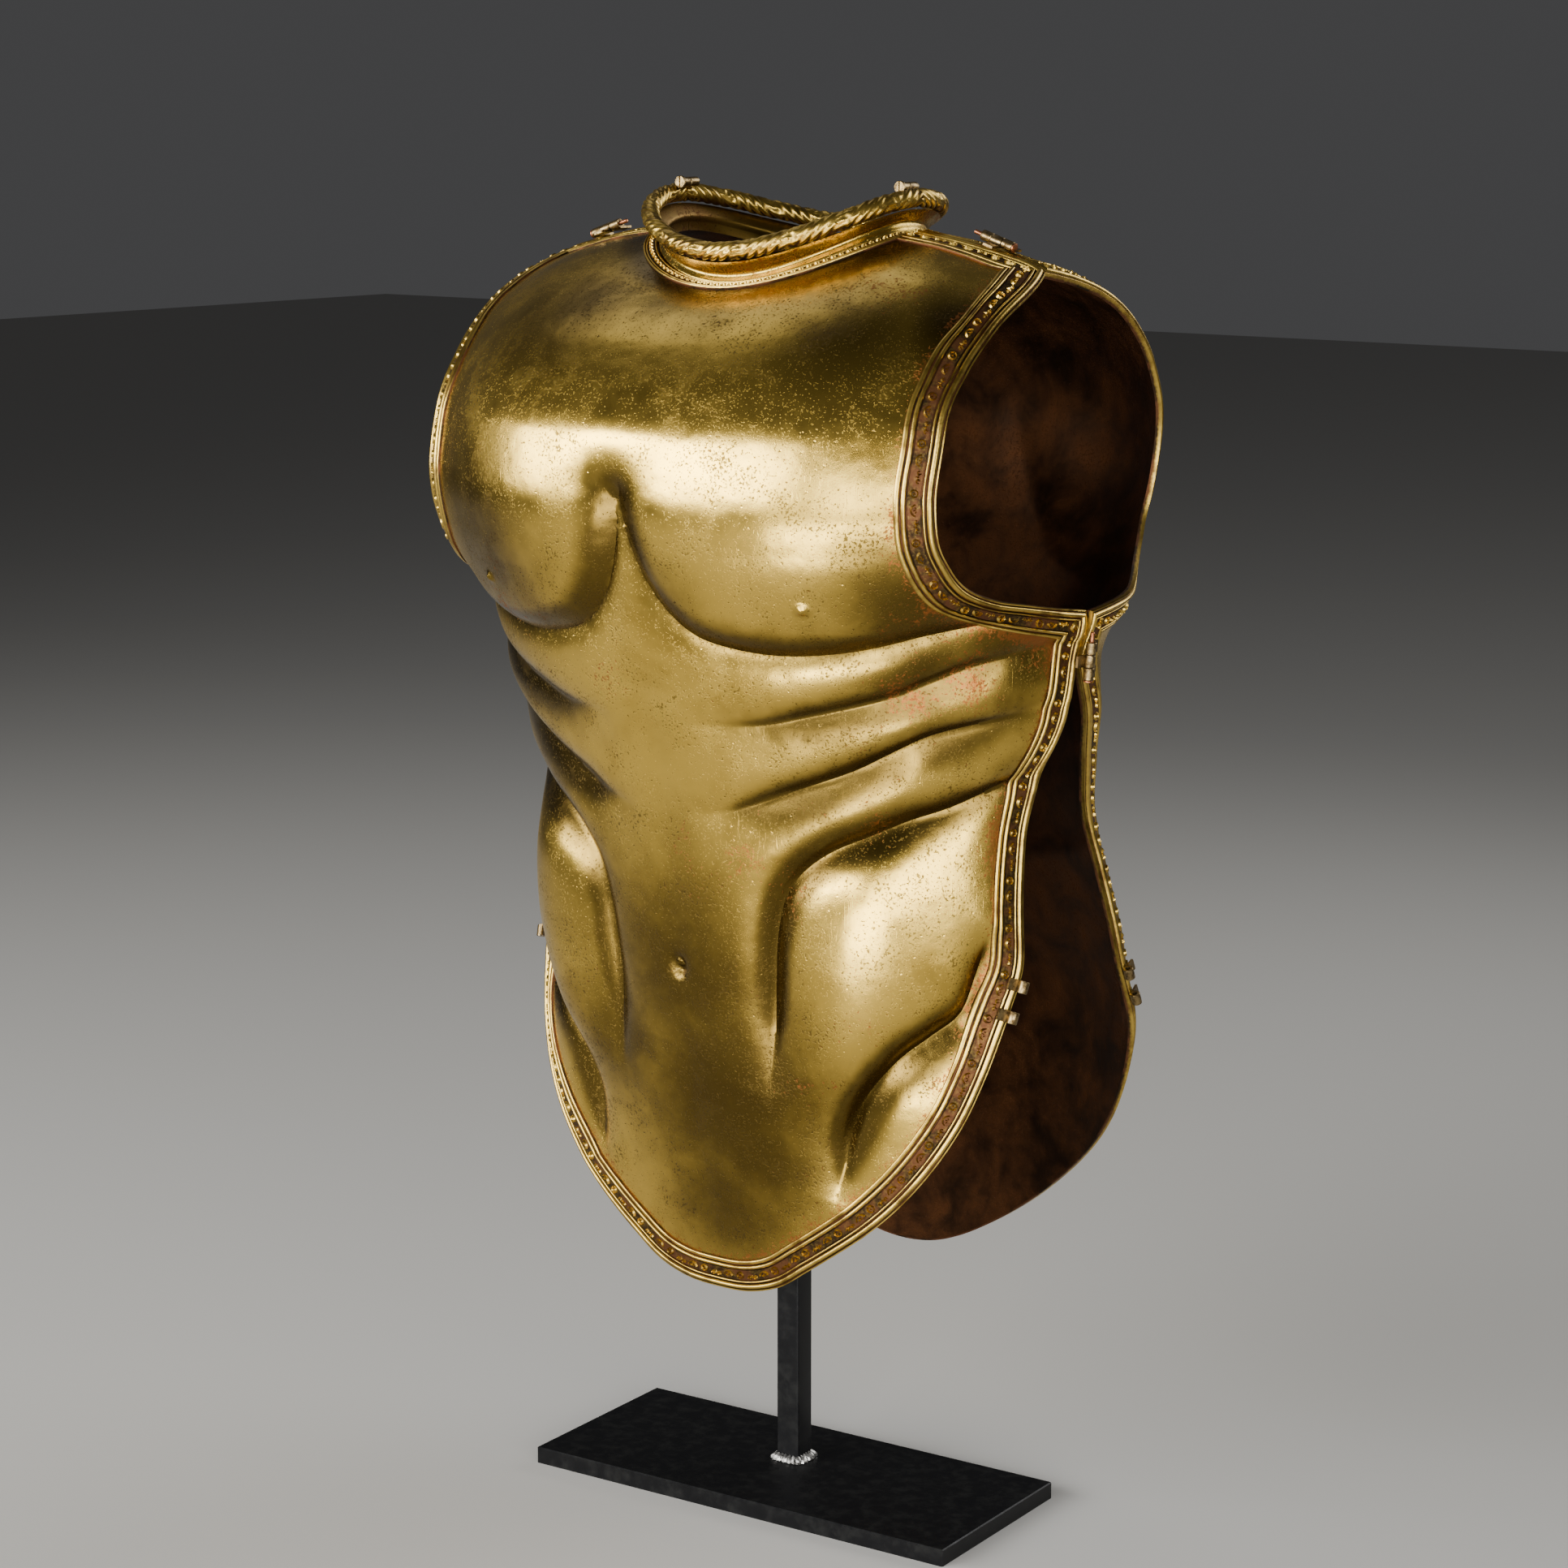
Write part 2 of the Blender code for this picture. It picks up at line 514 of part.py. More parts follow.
def new_object(name, bm, finish, smooth_angle=SMOOTH_ANGLE):
    """Make the closed mesh an object with its faces outward."""
    bmesh.ops.recalc_face_normals(bm, faces=bm.faces[:])
    if bm.calc_volume(signed=True) < 0:
        bmesh.ops.reverse_faces(bm, faces=bm.faces[:])
    mesh = bpy.data.meshes.new(name)
    bm.to_mesh(mesh)
    bm.free()
    mesh.materials.append(finish)
    mesh.shade_smooth()
    mesh.set_sharp_from_angle(angle=math.radians(smooth_angle))
    thing = bpy.data.objects.new(name, mesh)
    bpy.context.scene.collection.objects.link(thing)
    return thing


def new_finish(name, colour, roughness, metallic):
    finish = bpy.data.materials.new(name)
    finish.use_nodes = True
    shader = finish.node_tree.nodes["Principled BSDF"]
    shader.inputs["Base Color"].default_value = (*colour, 1.0)
    shader.inputs["Roughness"].default_value = roughness
    shader.inputs["Metallic"].default_value = metallic
    return finish


def make_plate(name, side, facet, finish):
    """A beaten plate with its wall, from a flat pattern of border quads and an even filling."""
    runs, border = plate_runs(side)
    filling = inner_places(side, border, facet)
    places, order = [], {}

    def number(place):
        if place not in order:
            order[place] = len(places)
            places.append(place)
        return order[place]

    faces = []
    for run in runs.values():
        for (edge, inner), (next_edge, next_inner) in zip(run, run[1:]):
            a, b, c, d = (number(p) for p in (edge, next_edge, next_inner, inner))
            faces += [(a, b, c), (a, c, d)]
    count = len(border)
    loop = [(i, (i + 1) % count) for i in range(count)]
    pattern = border + filling
    points, _, triangles, origins, _, _ = geometry.delaunay_2d_cdt(
        [flat(*place) for place in pattern], loop, [], 1, WELD)
    assert len(points) == len(pattern)
    faces += [tuple(number(pattern[origins[k][0]]) for k in triangle) for triangle in triangles]
    bm = bmesh.new()
    top, low = ([bm.verts.new(sheet_point(side, place, lift)) for place in places]
                for lift in (0.0, -SHEET))
    for layer in (top, low):
        for face in faces:
            bm.faces.new([layer[k] for k in face])
    bm.verts.index_update()
    rim = [tuple(v.index for v in e.verts) for e in bm.edges if len(e.link_faces) == 1]
    for a, b in rim:
        if a < len(top):
            bm.faces.new((top[a], top[b], low[b]))
            bm.faces.new((top[a], low[b], low[a]))
    return new_object(name, bm, finish)


def cap(bm, ring):
    """Close the end of a swept shape."""
    for triangle in geometry.tessellate_polygon([[v.co for v in ring]]):
        bm.faces.new([ring[k] for k in triangle])


def sweep(name, rings, finish, closed=False, smooth_angle=SMOOTH_ANGLE):
    """A solid through rings of points, each ring a closed cross-section."""
    bm = bmesh.new()
    rings = [[bm.verts.new(point) for point in ring] for ring in rings]
    sides = len(rings[0])
    pairs = list(zip(rings, rings[1:]))
    if closed:
        pairs.append((rings[-1], rings[0]))
    for here, there in pairs:
        for j in range(sides):
            k = (j + 1) % sides
            bm.faces.new((here[j], there[j], there[k]))
            bm.faces.new((here[j], there[k], here[k]))
    if not closed:
        cap(bm, rings[0])
        cap(bm, rings[-1])
    return new_object(name, bm, finish, smooth_angle)


def make_strip(name, side, run, profile, height, finish):
    """A moulded strip lying on the border of a plate, cut off clear of what it meets at both ends."""
    stations = []
    for edge, inner in run:
        stations.append([(sheet_point(side, place), skin_frame(side, *place)[2])
                         for place in (inner, edge)])
    for end, beside in ((0, 1), (-1, -2)):
        stations[end] = [(point + (other - point).normalized() * GAP, normal)
                         for (point, normal), (other, _) in zip(stations[end], stations[beside])]
    rings = []
    for (inner, inner_normal), (edge, edge_normal) in stations:
        ring = []
        for share, rise in profile + ((1.0, 0.0), (0.0, 0.0)):
            normal = inner_normal.lerp(edge_normal, share).normalized()
            ring.append(inner.lerp(edge, share) + normal * (GAP + rise * height))
        rings.append(ring)
    return sweep(name, rings, finish)


def neck_frame(side, angle):
    """The sheet's edge at the neck, and the level direction out from the neck there."""
    along = skin(side, angle + ANGLE_STEP, 1.0) - skin(side, angle - ANGLE_STEP, 1.0)
    out = Vector((along.y, -along.x, 0.0)).normalized() * -side
    return skin(side, angle, 1.0), out


def make_collar(name, side, finish):
    """Half of the standing collar: a hollow-moulded wall from inside the neck to under the rope."""
    lip_rise = COLLAR_RISE - ROPE_RADIUS - 2 * GAP
    lip_out = COLLAR_LEAN + COLLAR_WALL / 2
    face = [(-COLLAR_INSET, -COLLAR_FOOT)]
    face += [(-COLLAR_INSET + (lip_out + COLLAR_INSET) * out, lip_rise * rise)
             for out, rise in COLLAR_PROFILE]
    wall = face + [(out - COLLAR_WALL, rise) for out, rise in reversed(face)]
    rings = []
    for angle in neck_angles():
        foot, out = neck_frame(side, angle)
        rings.append([foot + out * o + Vector((0, 0, r)) for o, r in wall])
    return sweep(name, rings, finish)


def make_rope(name, side, finish):
    """Half of the rolled rim, fluted like a twisted rope."""
    sides, rings = 8, []
    for i in range(ROPE_FACETS + 1):
        angle = 90 - 180 * i / ROPE_FACETS
        foot, out = neck_frame(side, angle)
        ahead = neck_frame(side, angle + ANGLE_STEP)[0] - neck_frame(side, angle - ANGLE_STEP)[0]
        lift = ahead.cross(out).normalized()
        lift *= 1 if lift.z > 0 else -1
        middle = foot + out * COLLAR_LEAN + Vector((0, 0, COLLAR_RISE))
        turn = math.tau / sides * i * 0.5
        ring = []
        for k in range(sides):
            radius = ROPE_RADIUS - ROPE_FLUTE * (k % 2)
            a = math.tau * k / sides + turn
            ring.append(middle + out * (radius * math.cos(a)) + lift * (radius * math.sin(a)))
        rings.append(ring)
    return sweep(name, rings, finish, smooth_angle=ROPE_SMOOTH_ANGLE)


def turned(name, start, axis, steps, finish, sides=TURNED_SIDES):
    """A turned piece; steps are (distance along the axis, radius)."""
    axis = axis.normalized()
    first = axis.orthogonal().normalized()
    second = axis.cross(first)
    rings = []
    for reach, radius in steps:
        rings.append([start + axis * reach + (first * math.cos(a) + second * math.sin(a)) * radius
                      for a in (math.tau * k / sides for k in range(sides))])
    return sweep(name, rings, finish)


def prism(name, frame, outline, hole, length, finish):
    """An outline with an optional hole, extruded both ways from its plane along the frame's axis."""
    origin, first, second, axis = frame
    bm = bmesh.new()
    loops = [outline] + ([hole] if hole else [])
    ends = []
    for reach in (-length / 2, length / 2):
        ends.append([[bm.verts.new(origin + first * x + second * y + axis * reach) for x, y in loop]
                     for loop in loops])
    for near, far in zip(*ends):
        for j in range(len(near)):
            k = (j + 1) % len(near)
            bm.faces.new((near[j], near[k], far[k], far[j]))
    flat_loops = [[Vector((x, y, 0.0)) for x, y in loop] for loop in loops]
    for end in ends:
        verts = [v for loop in end for v in loop]
        for triangle in geometry.tessellate_polygon(flat_loops):
            bm.faces.new([verts[k] for k in triangle])
    return new_object(name, bm, finish)


def knuckle_outline():
    """A rolled knuckle with its leaf: the leaf's underside is level with the barrel's."""
    radius, thick = KNUCKLE_RADIUS, LEAF_THICK
    start = math.atan2(thick - radius, math.sqrt(radius ** 2 - (radius - thick) ** 2))
    steps = 8
    arc = [start + (1.5 * math.pi - start) * k / steps for k in range(steps + 1)]
    outline = [(LEAF_LENGTH, -radius), (LEAF_LENGTH, thick - radius)]
    outline += [(radius * math.cos(a), radius * math.sin(a)) for a in arc]
    bore = PIN_RADIUS + PIN_CLEAR
    hole = [(bore * math.cos(a), bore * math.sin(a)) for a in (math.tau * k / 6 for k in range(6))]
    return outline, hole


def mirror_x(vector):
    return Vector((-vector.x, vector.y, vector.z))


HANDS = (("left", Vector), ("right", mirror_x))


def clearance(points, way, supports):
    """How far a set of points can move along a direction before one of them meets a support."""
    least = CLEAR_REACH
    for point in points:
        for thing in supports:
            found, hit, _, _ = thing.ray_cast(point, way)
            if found:
                least = min(least, (hit - point).length)
    return least


def leaf_points(frame):
    """Points all over the underside of a knuckle and its leaf."""
    origin, inward_way, normal, axis = frame
    return [origin - normal * KNUCKLE_RADIUS + inward_way * (LEAF_LENGTH * i / 8)
            + axis * (KNUCKLE_LENGTH * (j / 4 - 0.5)) for i in range(9) for j in range(5)]


def seated(frames, supports):
    """The same frames lowered together until the first leaf has only the gap left under it."""
    normal = frames[0][2]
    drop = clearance([p for frame in frames for p in leaf_points(frame)], -normal, supports) - GAP
    return [(origin - normal * drop, *rest) for origin, *rest in frames]


def seam_frame(up):
    """A place well over the seam between the plates: the pin's middle, line and outward way."""
    upward = skin_frame(-1, 90, up)[1]
    axis = Vector((upward.x, 0, upward.z)).normalized()
    middle = skin(-1, 90, up)
    middle.y = 0.0
    normal = Vector((axis.z, 0, -axis.x))
    return middle + normal * STAND_OFF, axis, normal


def make_hinge(place, up, supports, finishes):
    """A fastened three-knuckle hinge over a seam, on both sides of the body."""
    outline, hole = knuckle_outline()
    pitch = KNUCKLE_LENGTH + GAP
    middle, axis, normal = seam_frame(up)
    knuckles = (("front", -1, 0), ("back_upper", 1, 1), ("back_lower", 1, -1))
    loose = [(middle + axis * pitch * step, Vector((0, side, 0)), normal, axis)
             for _, side, step in knuckles]
    reach = 1.5 * pitch
    steps = ((0.0, PIN_HEAD_RADIUS), (PIN_HEAD, PIN_HEAD_RADIUS), (PIN_HEAD, PIN_RADIUS),
             (PIN_HEAD + 2 * reach + PIN_TAIL, PIN_RADIUS))
    for hand, flip in HANDS:
        frames = seated([[flip(v) for v in frame] for frame in loose], supports)
        for (knuckle, _, _), frame in zip(knuckles, frames):
            prism(f"{place}_hinge_{knuckle}_{hand}", frame, outline, hole, KNUCKLE_LENGTH,
                  finishes["bronze"])
        start = frames[0][0] - flip(axis) * (reach + PIN_HEAD)
        turned(f"{place}_hinge_pin_{hand}", start, flip(axis), steps, finishes["copper"], sides=PIN_SIDES)


def edge_frame(side, line, up):
    """A knuckle's middle well over the edge of one plate: the way in, outward and along the edge."""
    k = next(i for i in range(len(line) - 1) if line[i + 1][1] >= up)
    share = (up - line[k][1]) / (line[k + 1][1] - line[k][1])
    angle = line[k][0] + (line[k + 1][0] - line[k][0]) * share
    normal = skin_frame(side, angle, up)[2]
    axis = (skin(side, *line[k + 1]) - skin(side, *line[k])).normalized()
    normal = (normal - axis * normal.dot(axis)).normalized()
    middle = sheet_point(side, (angle, up)) + normal * STAND_OFF
    return middle, normal.cross(axis) * -side, normal, axis


def make_hip_knuckles(strips, finish):
    """The unpinned knuckles at the hips, two on each plate's edge on both sides."""
    outline, hole = knuckle_outline()
    step = HIP_PITCH / PATTERN_HEIGHT
    for name, side, line, shifts in (("front", -1, BREAST_SIDE, (1.5, -0.5)),
                                     ("back", 1, BACK_SIDE, (0.5, -1.5))):
        for number, shift in zip(("upper", "lower"), shifts):
            loose = edge_frame(side, line, HIP_KNUCKLES_UP + shift * step)
            for hand, flip in HANDS:
                frame, = seated([[flip(v) for v in loose]], strips)
                prism(f"hip_knuckle_{name}_{number}_{hand}", frame, outline, hole, KNUCKLE_LENGTH,
                      finish)


def make_clasps(ropes, finish):
    """The plain barrels that join the two halves of the rim over the shoulders."""
    foot = neck_frame(-1, 90)[0]
    rope = Vector((foot.x + COLLAR_LEAN, 0, foot.z + COLLAR_RISE))
    way = Vector((1, 0, -1)).normalized()
    start = rope - way * 3 * ROPE_RADIUS - Vector((0, CLASP_LENGTH / 2, 0))
    across = Vector((1, 0, 1)).normalized()
    under = [start + way * (CLASP_RADIUS * math.cos(a)) + across * (CLASP_RADIUS * math.sin(a))
             + Vector((0, CLASP_LENGTH * k / 12, 0))
             for a in (math.radians(30 * j) for j in (-2, -1, 0, 1, 2)) for k in range(13)]
    steps = ((0.0, CLASP_RADIUS), (CLASP_LENGTH, CLASP_RADIUS))
    for hand, flip in HANDS:
        drop = clearance([flip(point) for point in under], flip(way), ropes) - GAP
        turned(f"collar_clasp_{hand}", flip(start + way * drop), Vector((0, 1, 0)), steps, finish,
               sides=CLASP_SIDES)


def turn_stand(x, y, z):
    c, s = math.cos(STAND_TURN), math.sin(STAND_TURN)
    return Vector((x * c - y * s, x * s + y * c, z))


def make_box(name, corner, size, finish, bevel=0.0):
    """A box turned with the stand, from its lowest corner."""
    bm = bmesh.new()
    bmesh.ops.create_cube(bm, size=1.0)
    for vert in bm.verts:
        x, y, z = (c + s * (v + 0.5) for c, s, v in zip(corner, size, vert.co))
        vert.co = turn_stand(x, y, z)
    if bevel:
        edges = [e for e in bm.edges if (e.verts[0].co - e.verts[1].co).normalized().z ** 2 > 0.5
                 or min(v.co.z for v in e.verts) > corner[2] + size[2] / 2]
        bmesh.ops.bevel(bm, geom=edges, offset=bevel, segments=1, affect="EDGES")
    bmesh.ops.triangulate(bm, faces=bm.faces[:])
    return new_object(name, bm, finish)


def sheet_floor(plates, x, y):
    """Height of the underside of the plates over a point of the plan."""
    heights = []
    for plate in plates:
        start = Vector((x, y, HEM_LEVEL + TORSO_HEIGHT / 2))
        found, point, _, _ = plate.ray_cast(start, Vector((0, 0, 1)))
        if found:
            heights.append(point.z)
    return min(heights)


def make_stand(plates, finishes):
    """The base plate, the post, the weld round its foot and the bent bar under the shoulders."""
    corner = (BASE_SHIFT[0] - BASE_LENGTH / 2, BASE_SHIFT[1] - BASE_WIDTH / 2, 0.0)
    make_box("base_plate", corner, (BASE_LENGTH, BASE_WIDTH, BASE_THICK), finishes["black_steel"],
             BASE_BEVEL)
    inner = BAR_REACH - BAR_FOOT
    corners = [(x, y) for x in (inner, BAR_REACH) for y in (-BAR_DEPTH / 2, -GAP, GAP, BAR_DEPTH / 2)]
    seat = min(sheet_floor(plates, x, y) for x, y in corners) - GAP
    crown = seat - BAR_DROP
    inner -= BAR_DROP
    top = [(-BAR_REACH, seat), (-BAR_REACH + BAR_FOOT, seat), (-inner, crown),
           (inner, crown), (BAR_REACH - BAR_FOOT, seat), (BAR_REACH, seat)]
    outline = top + [(x, z - BAR_THICK) for x, z in reversed(top)]
    frame = (Vector(), Vector((1, 0, 0)), Vector((0, 0, 1)), Vector((0, 1, 0)))
    prism("support_bar", frame, outline, None, BAR_DEPTH, finishes["black_steel"])
    half = POST_SIDE / 2
    foot = BASE_THICK + GAP
    make_box("post", (-half, -half, foot), (POST_SIDE, POST_SIDE, crown - BAR_THICK - GAP - foot),
             finishes["black_steel"])
    near, far = half + GAP, half + GAP + WELD_LEG
    rings = [[turn_stand(x * near, y * near, foot), turn_stand(x * far, y * far, foot),
              turn_stand(x * near, y * near, foot + WELD_LEG)]
             for x, y in ((1, 1), (-1, 1), (-1, -1), (1, -1))]
    sweep("weld_bead", rings, finishes["weld"], closed=True)


def make_cuirass(finishes):
    """Both plates with their strips, the collar and its rim, by kind."""
    made = {"plates": [make_plate("breastplate", -1, BREAST_FACET, finishes["bronze"]),
                       make_plate("backplate", 1, BACK_FACET, finishes["bronze"])],
            "strips": [], "ropes": []}
    for side, name in ((-1, "breast"), (1, "back")):
        runs = plate_runs(side)[0]
        for part in ("hem", "armhole_left", "armhole_right", "shoulder_left", "shoulder_right"):
            piece, _, hand = part.partition("_")
            label = f"{name}_{piece}_strip_{hand}" if hand else f"{name}_{piece}_strip"
            made["strips"].append(make_strip(label, side, runs[part], STRIP_PROFILE, STRIP_HEIGHT,
                                             finishes["dark_bronze"]))
        front = "front" if side < 0 else "back"
        make_strip(f"neck_moulding_{front}", side, runs["neck"], BAND_PROFILE, NECK_BAND_HEIGHT,
                   finishes["dark_bronze"])
        make_collar(f"collar_{front}", side, finishes["bronze"])
        made["ropes"].append(make_rope(f"rope_rim_{front}", side, finishes["bronze"]))
    return made


def main():
    for thing in list(bpy.data.objects):
        bpy.data.objects.remove(thing, do_unlink=True)
    finishes = {"bronze": new_finish("bronze", BRONZE, 0.28, 1.0),
                "dark_bronze": new_finish("dark_bronze", DARK_BRONZE, 0.42, 1.0),
                "copper": new_finish("copper", COPPER, 0.40, 1.0),
                "black_steel": new_finish("black_steel", BLACK_STEEL, 0.45, 0.6),
                "weld": new_finish("weld", WELD_STEEL, 0.50, 1.0)}
    made = make_cuirass(finishes)
    make_clasps(made["ropes"], finishes["bronze"])
    make_hinge("shoulder", SHOULDER_HINGE_UP, made["strips"], finishes)
    make_hinge("side", SIDE_HINGE_UP, made["strips"], finishes)
    make_hip_knuckles(made["strips"], finishes["bronze"])
    make_stand(made["plates"], finishes)


main()
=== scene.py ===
import json
import math

import bmesh
import bpy
import numpy as np
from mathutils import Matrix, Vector, geometry

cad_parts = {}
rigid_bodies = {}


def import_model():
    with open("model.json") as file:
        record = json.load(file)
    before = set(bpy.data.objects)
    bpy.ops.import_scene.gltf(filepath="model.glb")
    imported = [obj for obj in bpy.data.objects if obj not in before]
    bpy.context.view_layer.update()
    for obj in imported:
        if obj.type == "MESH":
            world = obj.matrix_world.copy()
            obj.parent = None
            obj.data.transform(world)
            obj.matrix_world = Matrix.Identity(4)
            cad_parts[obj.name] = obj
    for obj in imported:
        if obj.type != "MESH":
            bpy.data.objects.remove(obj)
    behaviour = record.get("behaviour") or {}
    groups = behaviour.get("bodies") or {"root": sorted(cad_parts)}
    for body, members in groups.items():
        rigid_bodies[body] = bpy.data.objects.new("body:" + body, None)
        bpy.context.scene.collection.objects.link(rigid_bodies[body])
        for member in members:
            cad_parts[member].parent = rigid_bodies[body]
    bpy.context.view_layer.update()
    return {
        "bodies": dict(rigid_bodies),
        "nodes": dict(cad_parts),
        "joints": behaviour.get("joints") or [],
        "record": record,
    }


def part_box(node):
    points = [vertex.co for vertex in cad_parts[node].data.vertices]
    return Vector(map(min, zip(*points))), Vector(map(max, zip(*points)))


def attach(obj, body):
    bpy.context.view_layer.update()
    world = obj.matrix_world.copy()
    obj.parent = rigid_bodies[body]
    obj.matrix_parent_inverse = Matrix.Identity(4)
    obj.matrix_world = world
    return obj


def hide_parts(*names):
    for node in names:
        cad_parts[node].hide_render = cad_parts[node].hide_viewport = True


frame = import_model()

# Bronze muscle cuirass on a post stand: beaten plates, moulded edge strips, rope-edged collar.
# Metres, +Z up, the chest faces -Y and the wearer's left is +X.

nodes = frame["nodes"]
scene = bpy.context.scene
mm = 0.001

# the form that both plates are beaten to, with the same sizes as the solids
torso = {"hemLevel": 0.118, "height": 0.563, "halfWidth": 0.1805, "chestDepth": 0.148,
         "backDepth": 0.136, "pattern": 0.610, "seam": 0.00015, "sheet": 0.0016,
         "relief": 0.010, "flare": 0.006, "flareReach": 0.022}
border = {"stripWidth": 0.0175, "neckBand": 0.0075, "neckEnd": 74.5, "ladder": 0.021,
          "neckSteps": 14, "fine": 0.003}

# a row for each level: share of the pattern, then shares of the torso's height, width and depths
sections = (
    (0.000, 0.000, 0.820, 0.000, 0.428, 2.10, -0.025, 0.243, 2.2, 0.515, 0.033),
    (0.052, 0.057, 0.831, 0.057, 0.469, 2.10, 0.036, 0.250, 2.2, 0.518, 0.036),
    (0.120, 0.128, 0.853, 0.128, 0.520, 2.10, 0.114, 0.265, 2.2, 0.526, 0.040),
    (0.187, 0.199, 0.870, 0.199, 0.574, 2.05, 0.192, 0.279, 2.2, 0.526, 0.044),
    (0.254, 0.270, 0.884, 0.270, 0.625, 2.00, 0.268, 0.301, 2.2, 0.512, 0.038),
    (0.315, 0.336, 0.884, 0.336, 0.669, 2.00, 0.336, 0.324, 2.2, 0.450, 0.030),
    (0.385, 0.412, 0.864, 0.412, 0.703, 2.00, 0.412, 0.346, 2.2, 0.375, 0.022),
    (0.436, 0.465, 0.850, 0.465, 0.730, 2.00, 0.465, 0.375, 2.2, 0.316, 0.014),
    (0.495, 0.528, 0.898, 0.528, 0.777, 2.00, 0.528, 0.456, 2.2, 0.212, 0.006),
    (0.548, 0.581, 0.961, 0.581, 0.838, 2.00, 0.581, 0.566, 2.3, 0.096, 0.000),
    (0.600, 0.634, 0.983, 0.634, 0.892, 2.02, 0.634, 0.691, 2.4, 0.000, 0.000),
    (0.651, 0.679, 0.994, 0.687, 0.936, 2.05, 0.684, 0.794, 2.6, 0.000, 0.000),
    (0.693, 0.732, 1.000, 0.732, 0.973, 2.20, 0.728, 0.890, 2.9, 0.000, 0.000),
    (0.736, 0.785, 1.000, 0.776, 0.993, 2.30, 0.773, 0.963, 3.0, 0.000, 0.000),
    (0.777, 0.838, 0.992, 0.821, 0.983, 2.30, 0.821, 1.000, 3.0, 0.000, 0.000),
    (0.815, 0.886, 0.964, 0.856, 0.932, 2.30, 0.867, 0.985, 2.9, 0.000, 0.000),
    (0.849, 0.927, 0.920, 0.886, 0.858, 2.25, 0.906, 0.926, 2.7, 0.000, 0.000),
    (0.885, 0.952, 0.859, 0.913, 0.764, 2.20, 0.936, 0.824, 2.4, 0.000, 0.000),
    (0.923, 0.973, 0.753, 0.932, 0.652, 2.15, 0.955, 0.691, 2.3, 0.000, 0.000),
    (0.959, 0.989, 0.593, 0.943, 0.547, 2.10, 0.963, 0.566, 2.2, 0.000, 0.000),
    (0.984, 0.996, 0.465, 0.949, 0.466, 2.20, 0.966, 0.490, 2.2, 0.000, 0.000),
    (1.000, 1.000, 0.407, 0.953, 0.415, 2.25, 0.969, 0.441, 2.2, 0.000, 0.000),
)
sectionColumns = ("side", "width", "frontHeight", "front", "frontSquare",
                  "backHeight", "back", "backSquare", "set", "spread")

# edges of the plates: degrees round from the middle line, share of the pattern height
edges = {
    -1: {"side": ((0, 0.013), (7, 0.0145), (14, 0.021), (25.5, 0.052), (37, 0.087), (46, 0.120), (54, 0.154),
                  (61, 0.187), (66.5, 0.221), (71.5, 0.254), (76, 0.285), (80.8, 0.320), (82, 0.354),
                  (83, 0.385), (85, 0.420), (86.5, 0.451), (88.2, 0.502), (89.4, 0.547), (90, 0.600),
                  (90, 0.646)),
         "armhole": ((90, 0.646), (80, 0.652), (65.2, 0.664), (58.5, 0.678), (55.5, 0.694),
                     (54, 0.709), (53.3, 0.738), (54.5, 0.768), (56.5, 0.797), (61.4, 0.826),
                     (65.6, 0.839), (72, 0.856), (82, 0.877), (90, 0.893))},
    1: {"side": ((0, 0.009), (8, 0.0125), (17, 0.026), (30, 0.056), (42, 0.092), (58, 0.148), (72, 0.216),
                 (84, 0.266), (90, 0.304), (90, 0.385), (90, 0.495), (90, 0.600), (90, 0.646)),
        "armhole": ((90, 0.646), (80, 0.650), (70, 0.654), (58, 0.666), (50.5, 0.690), (49, 0.725),
                    (51, 0.773), (57, 0.820), (68, 0.860), (80, 0.882), (90, 0.893))}}

# creases between the beaten muscles: depth as a share of the relief, reach on the steep side (left of
# the line) and on the gentle side as shares of the half width, line as degrees, level and strength
creases = {
    -1: (("upperRib", 0.80, 0.044, 0.110, ((8, 0.537, 0), (20, 0.539, 0.6), (24.5, 0.541, 0.8),
                                           (32, 0.549, 1), (46.8, 0.567, 1), (54.5, 0.581, 1),
                                           (65.5, 0.598, 0.8), (83, 0.613, 0.4))),
         ("middleRib", 0.90, 0.044, 0.110, ((6, 0.452, 0), (16, 0.460, 0.5), (24, 0.471, 0.9), (40, 0.496, 1),
                                            (47.5, 0.512, 1), (55, 0.528, 1), (63.5, 0.538, 0.9),
                                            (75, 0.549, 0.5), (85, 0.555, 0.2))),
         ("ribArchAndSide", 1.10, 0.055, 0.060, ((18, 0.205, 0), (19, 0.247, 0.5), (19.4, 0.280, 0.85),
                                                 (20, 0.312, 1), (21.2, 0.348, 1), (24, 0.383, 1),
                                                 (29, 0.408, 1), (36, 0.427, 1), (44.8, 0.441, 0.95),
                                                 (53.8, 0.453, 0.9), (64, 0.463, 0.8), (77.5, 0.481, 0.6),
                                                 (86, 0.490, 0.3))),
         ("hip", 1.30, 0.055, 0.080, ((30, 0.110, 0), (32.2, 0.148, 0.6), (33.8, 0.179, 0.95),
                                      (38.2, 0.212, 1), (46, 0.245, 1), (54.8, 0.266, 1),
                                      (64, 0.288, 0.9), (69, 0.328, 0.6), (73, 0.365, 0)))),
    1: (("spine", 0.70, 0.100, 0.100, ((0, 0.880, 0), (0, 0.800, 0.7), (0, 0.600, 1), (0, 0.420, 1),
                                       (0, 0.320, 0.6), (0, 0.250, 0))),
        ("bladeEdge", 0.45, 0.110, 0.090, ((14, 0.800, 0), (19, 0.730, 0.8), (30, 0.660, 1), (48, 0.640, 0.8),
                                           (66, 0.640, 0))),
        ("loin", 0.40, 0.060, 0.120, ((16, 0.330, 0), (24, 0.365, 0.8), (40, 0.385, 1), (60, 0.400, 0.7),
                                      (80, 0.420, 0))))}
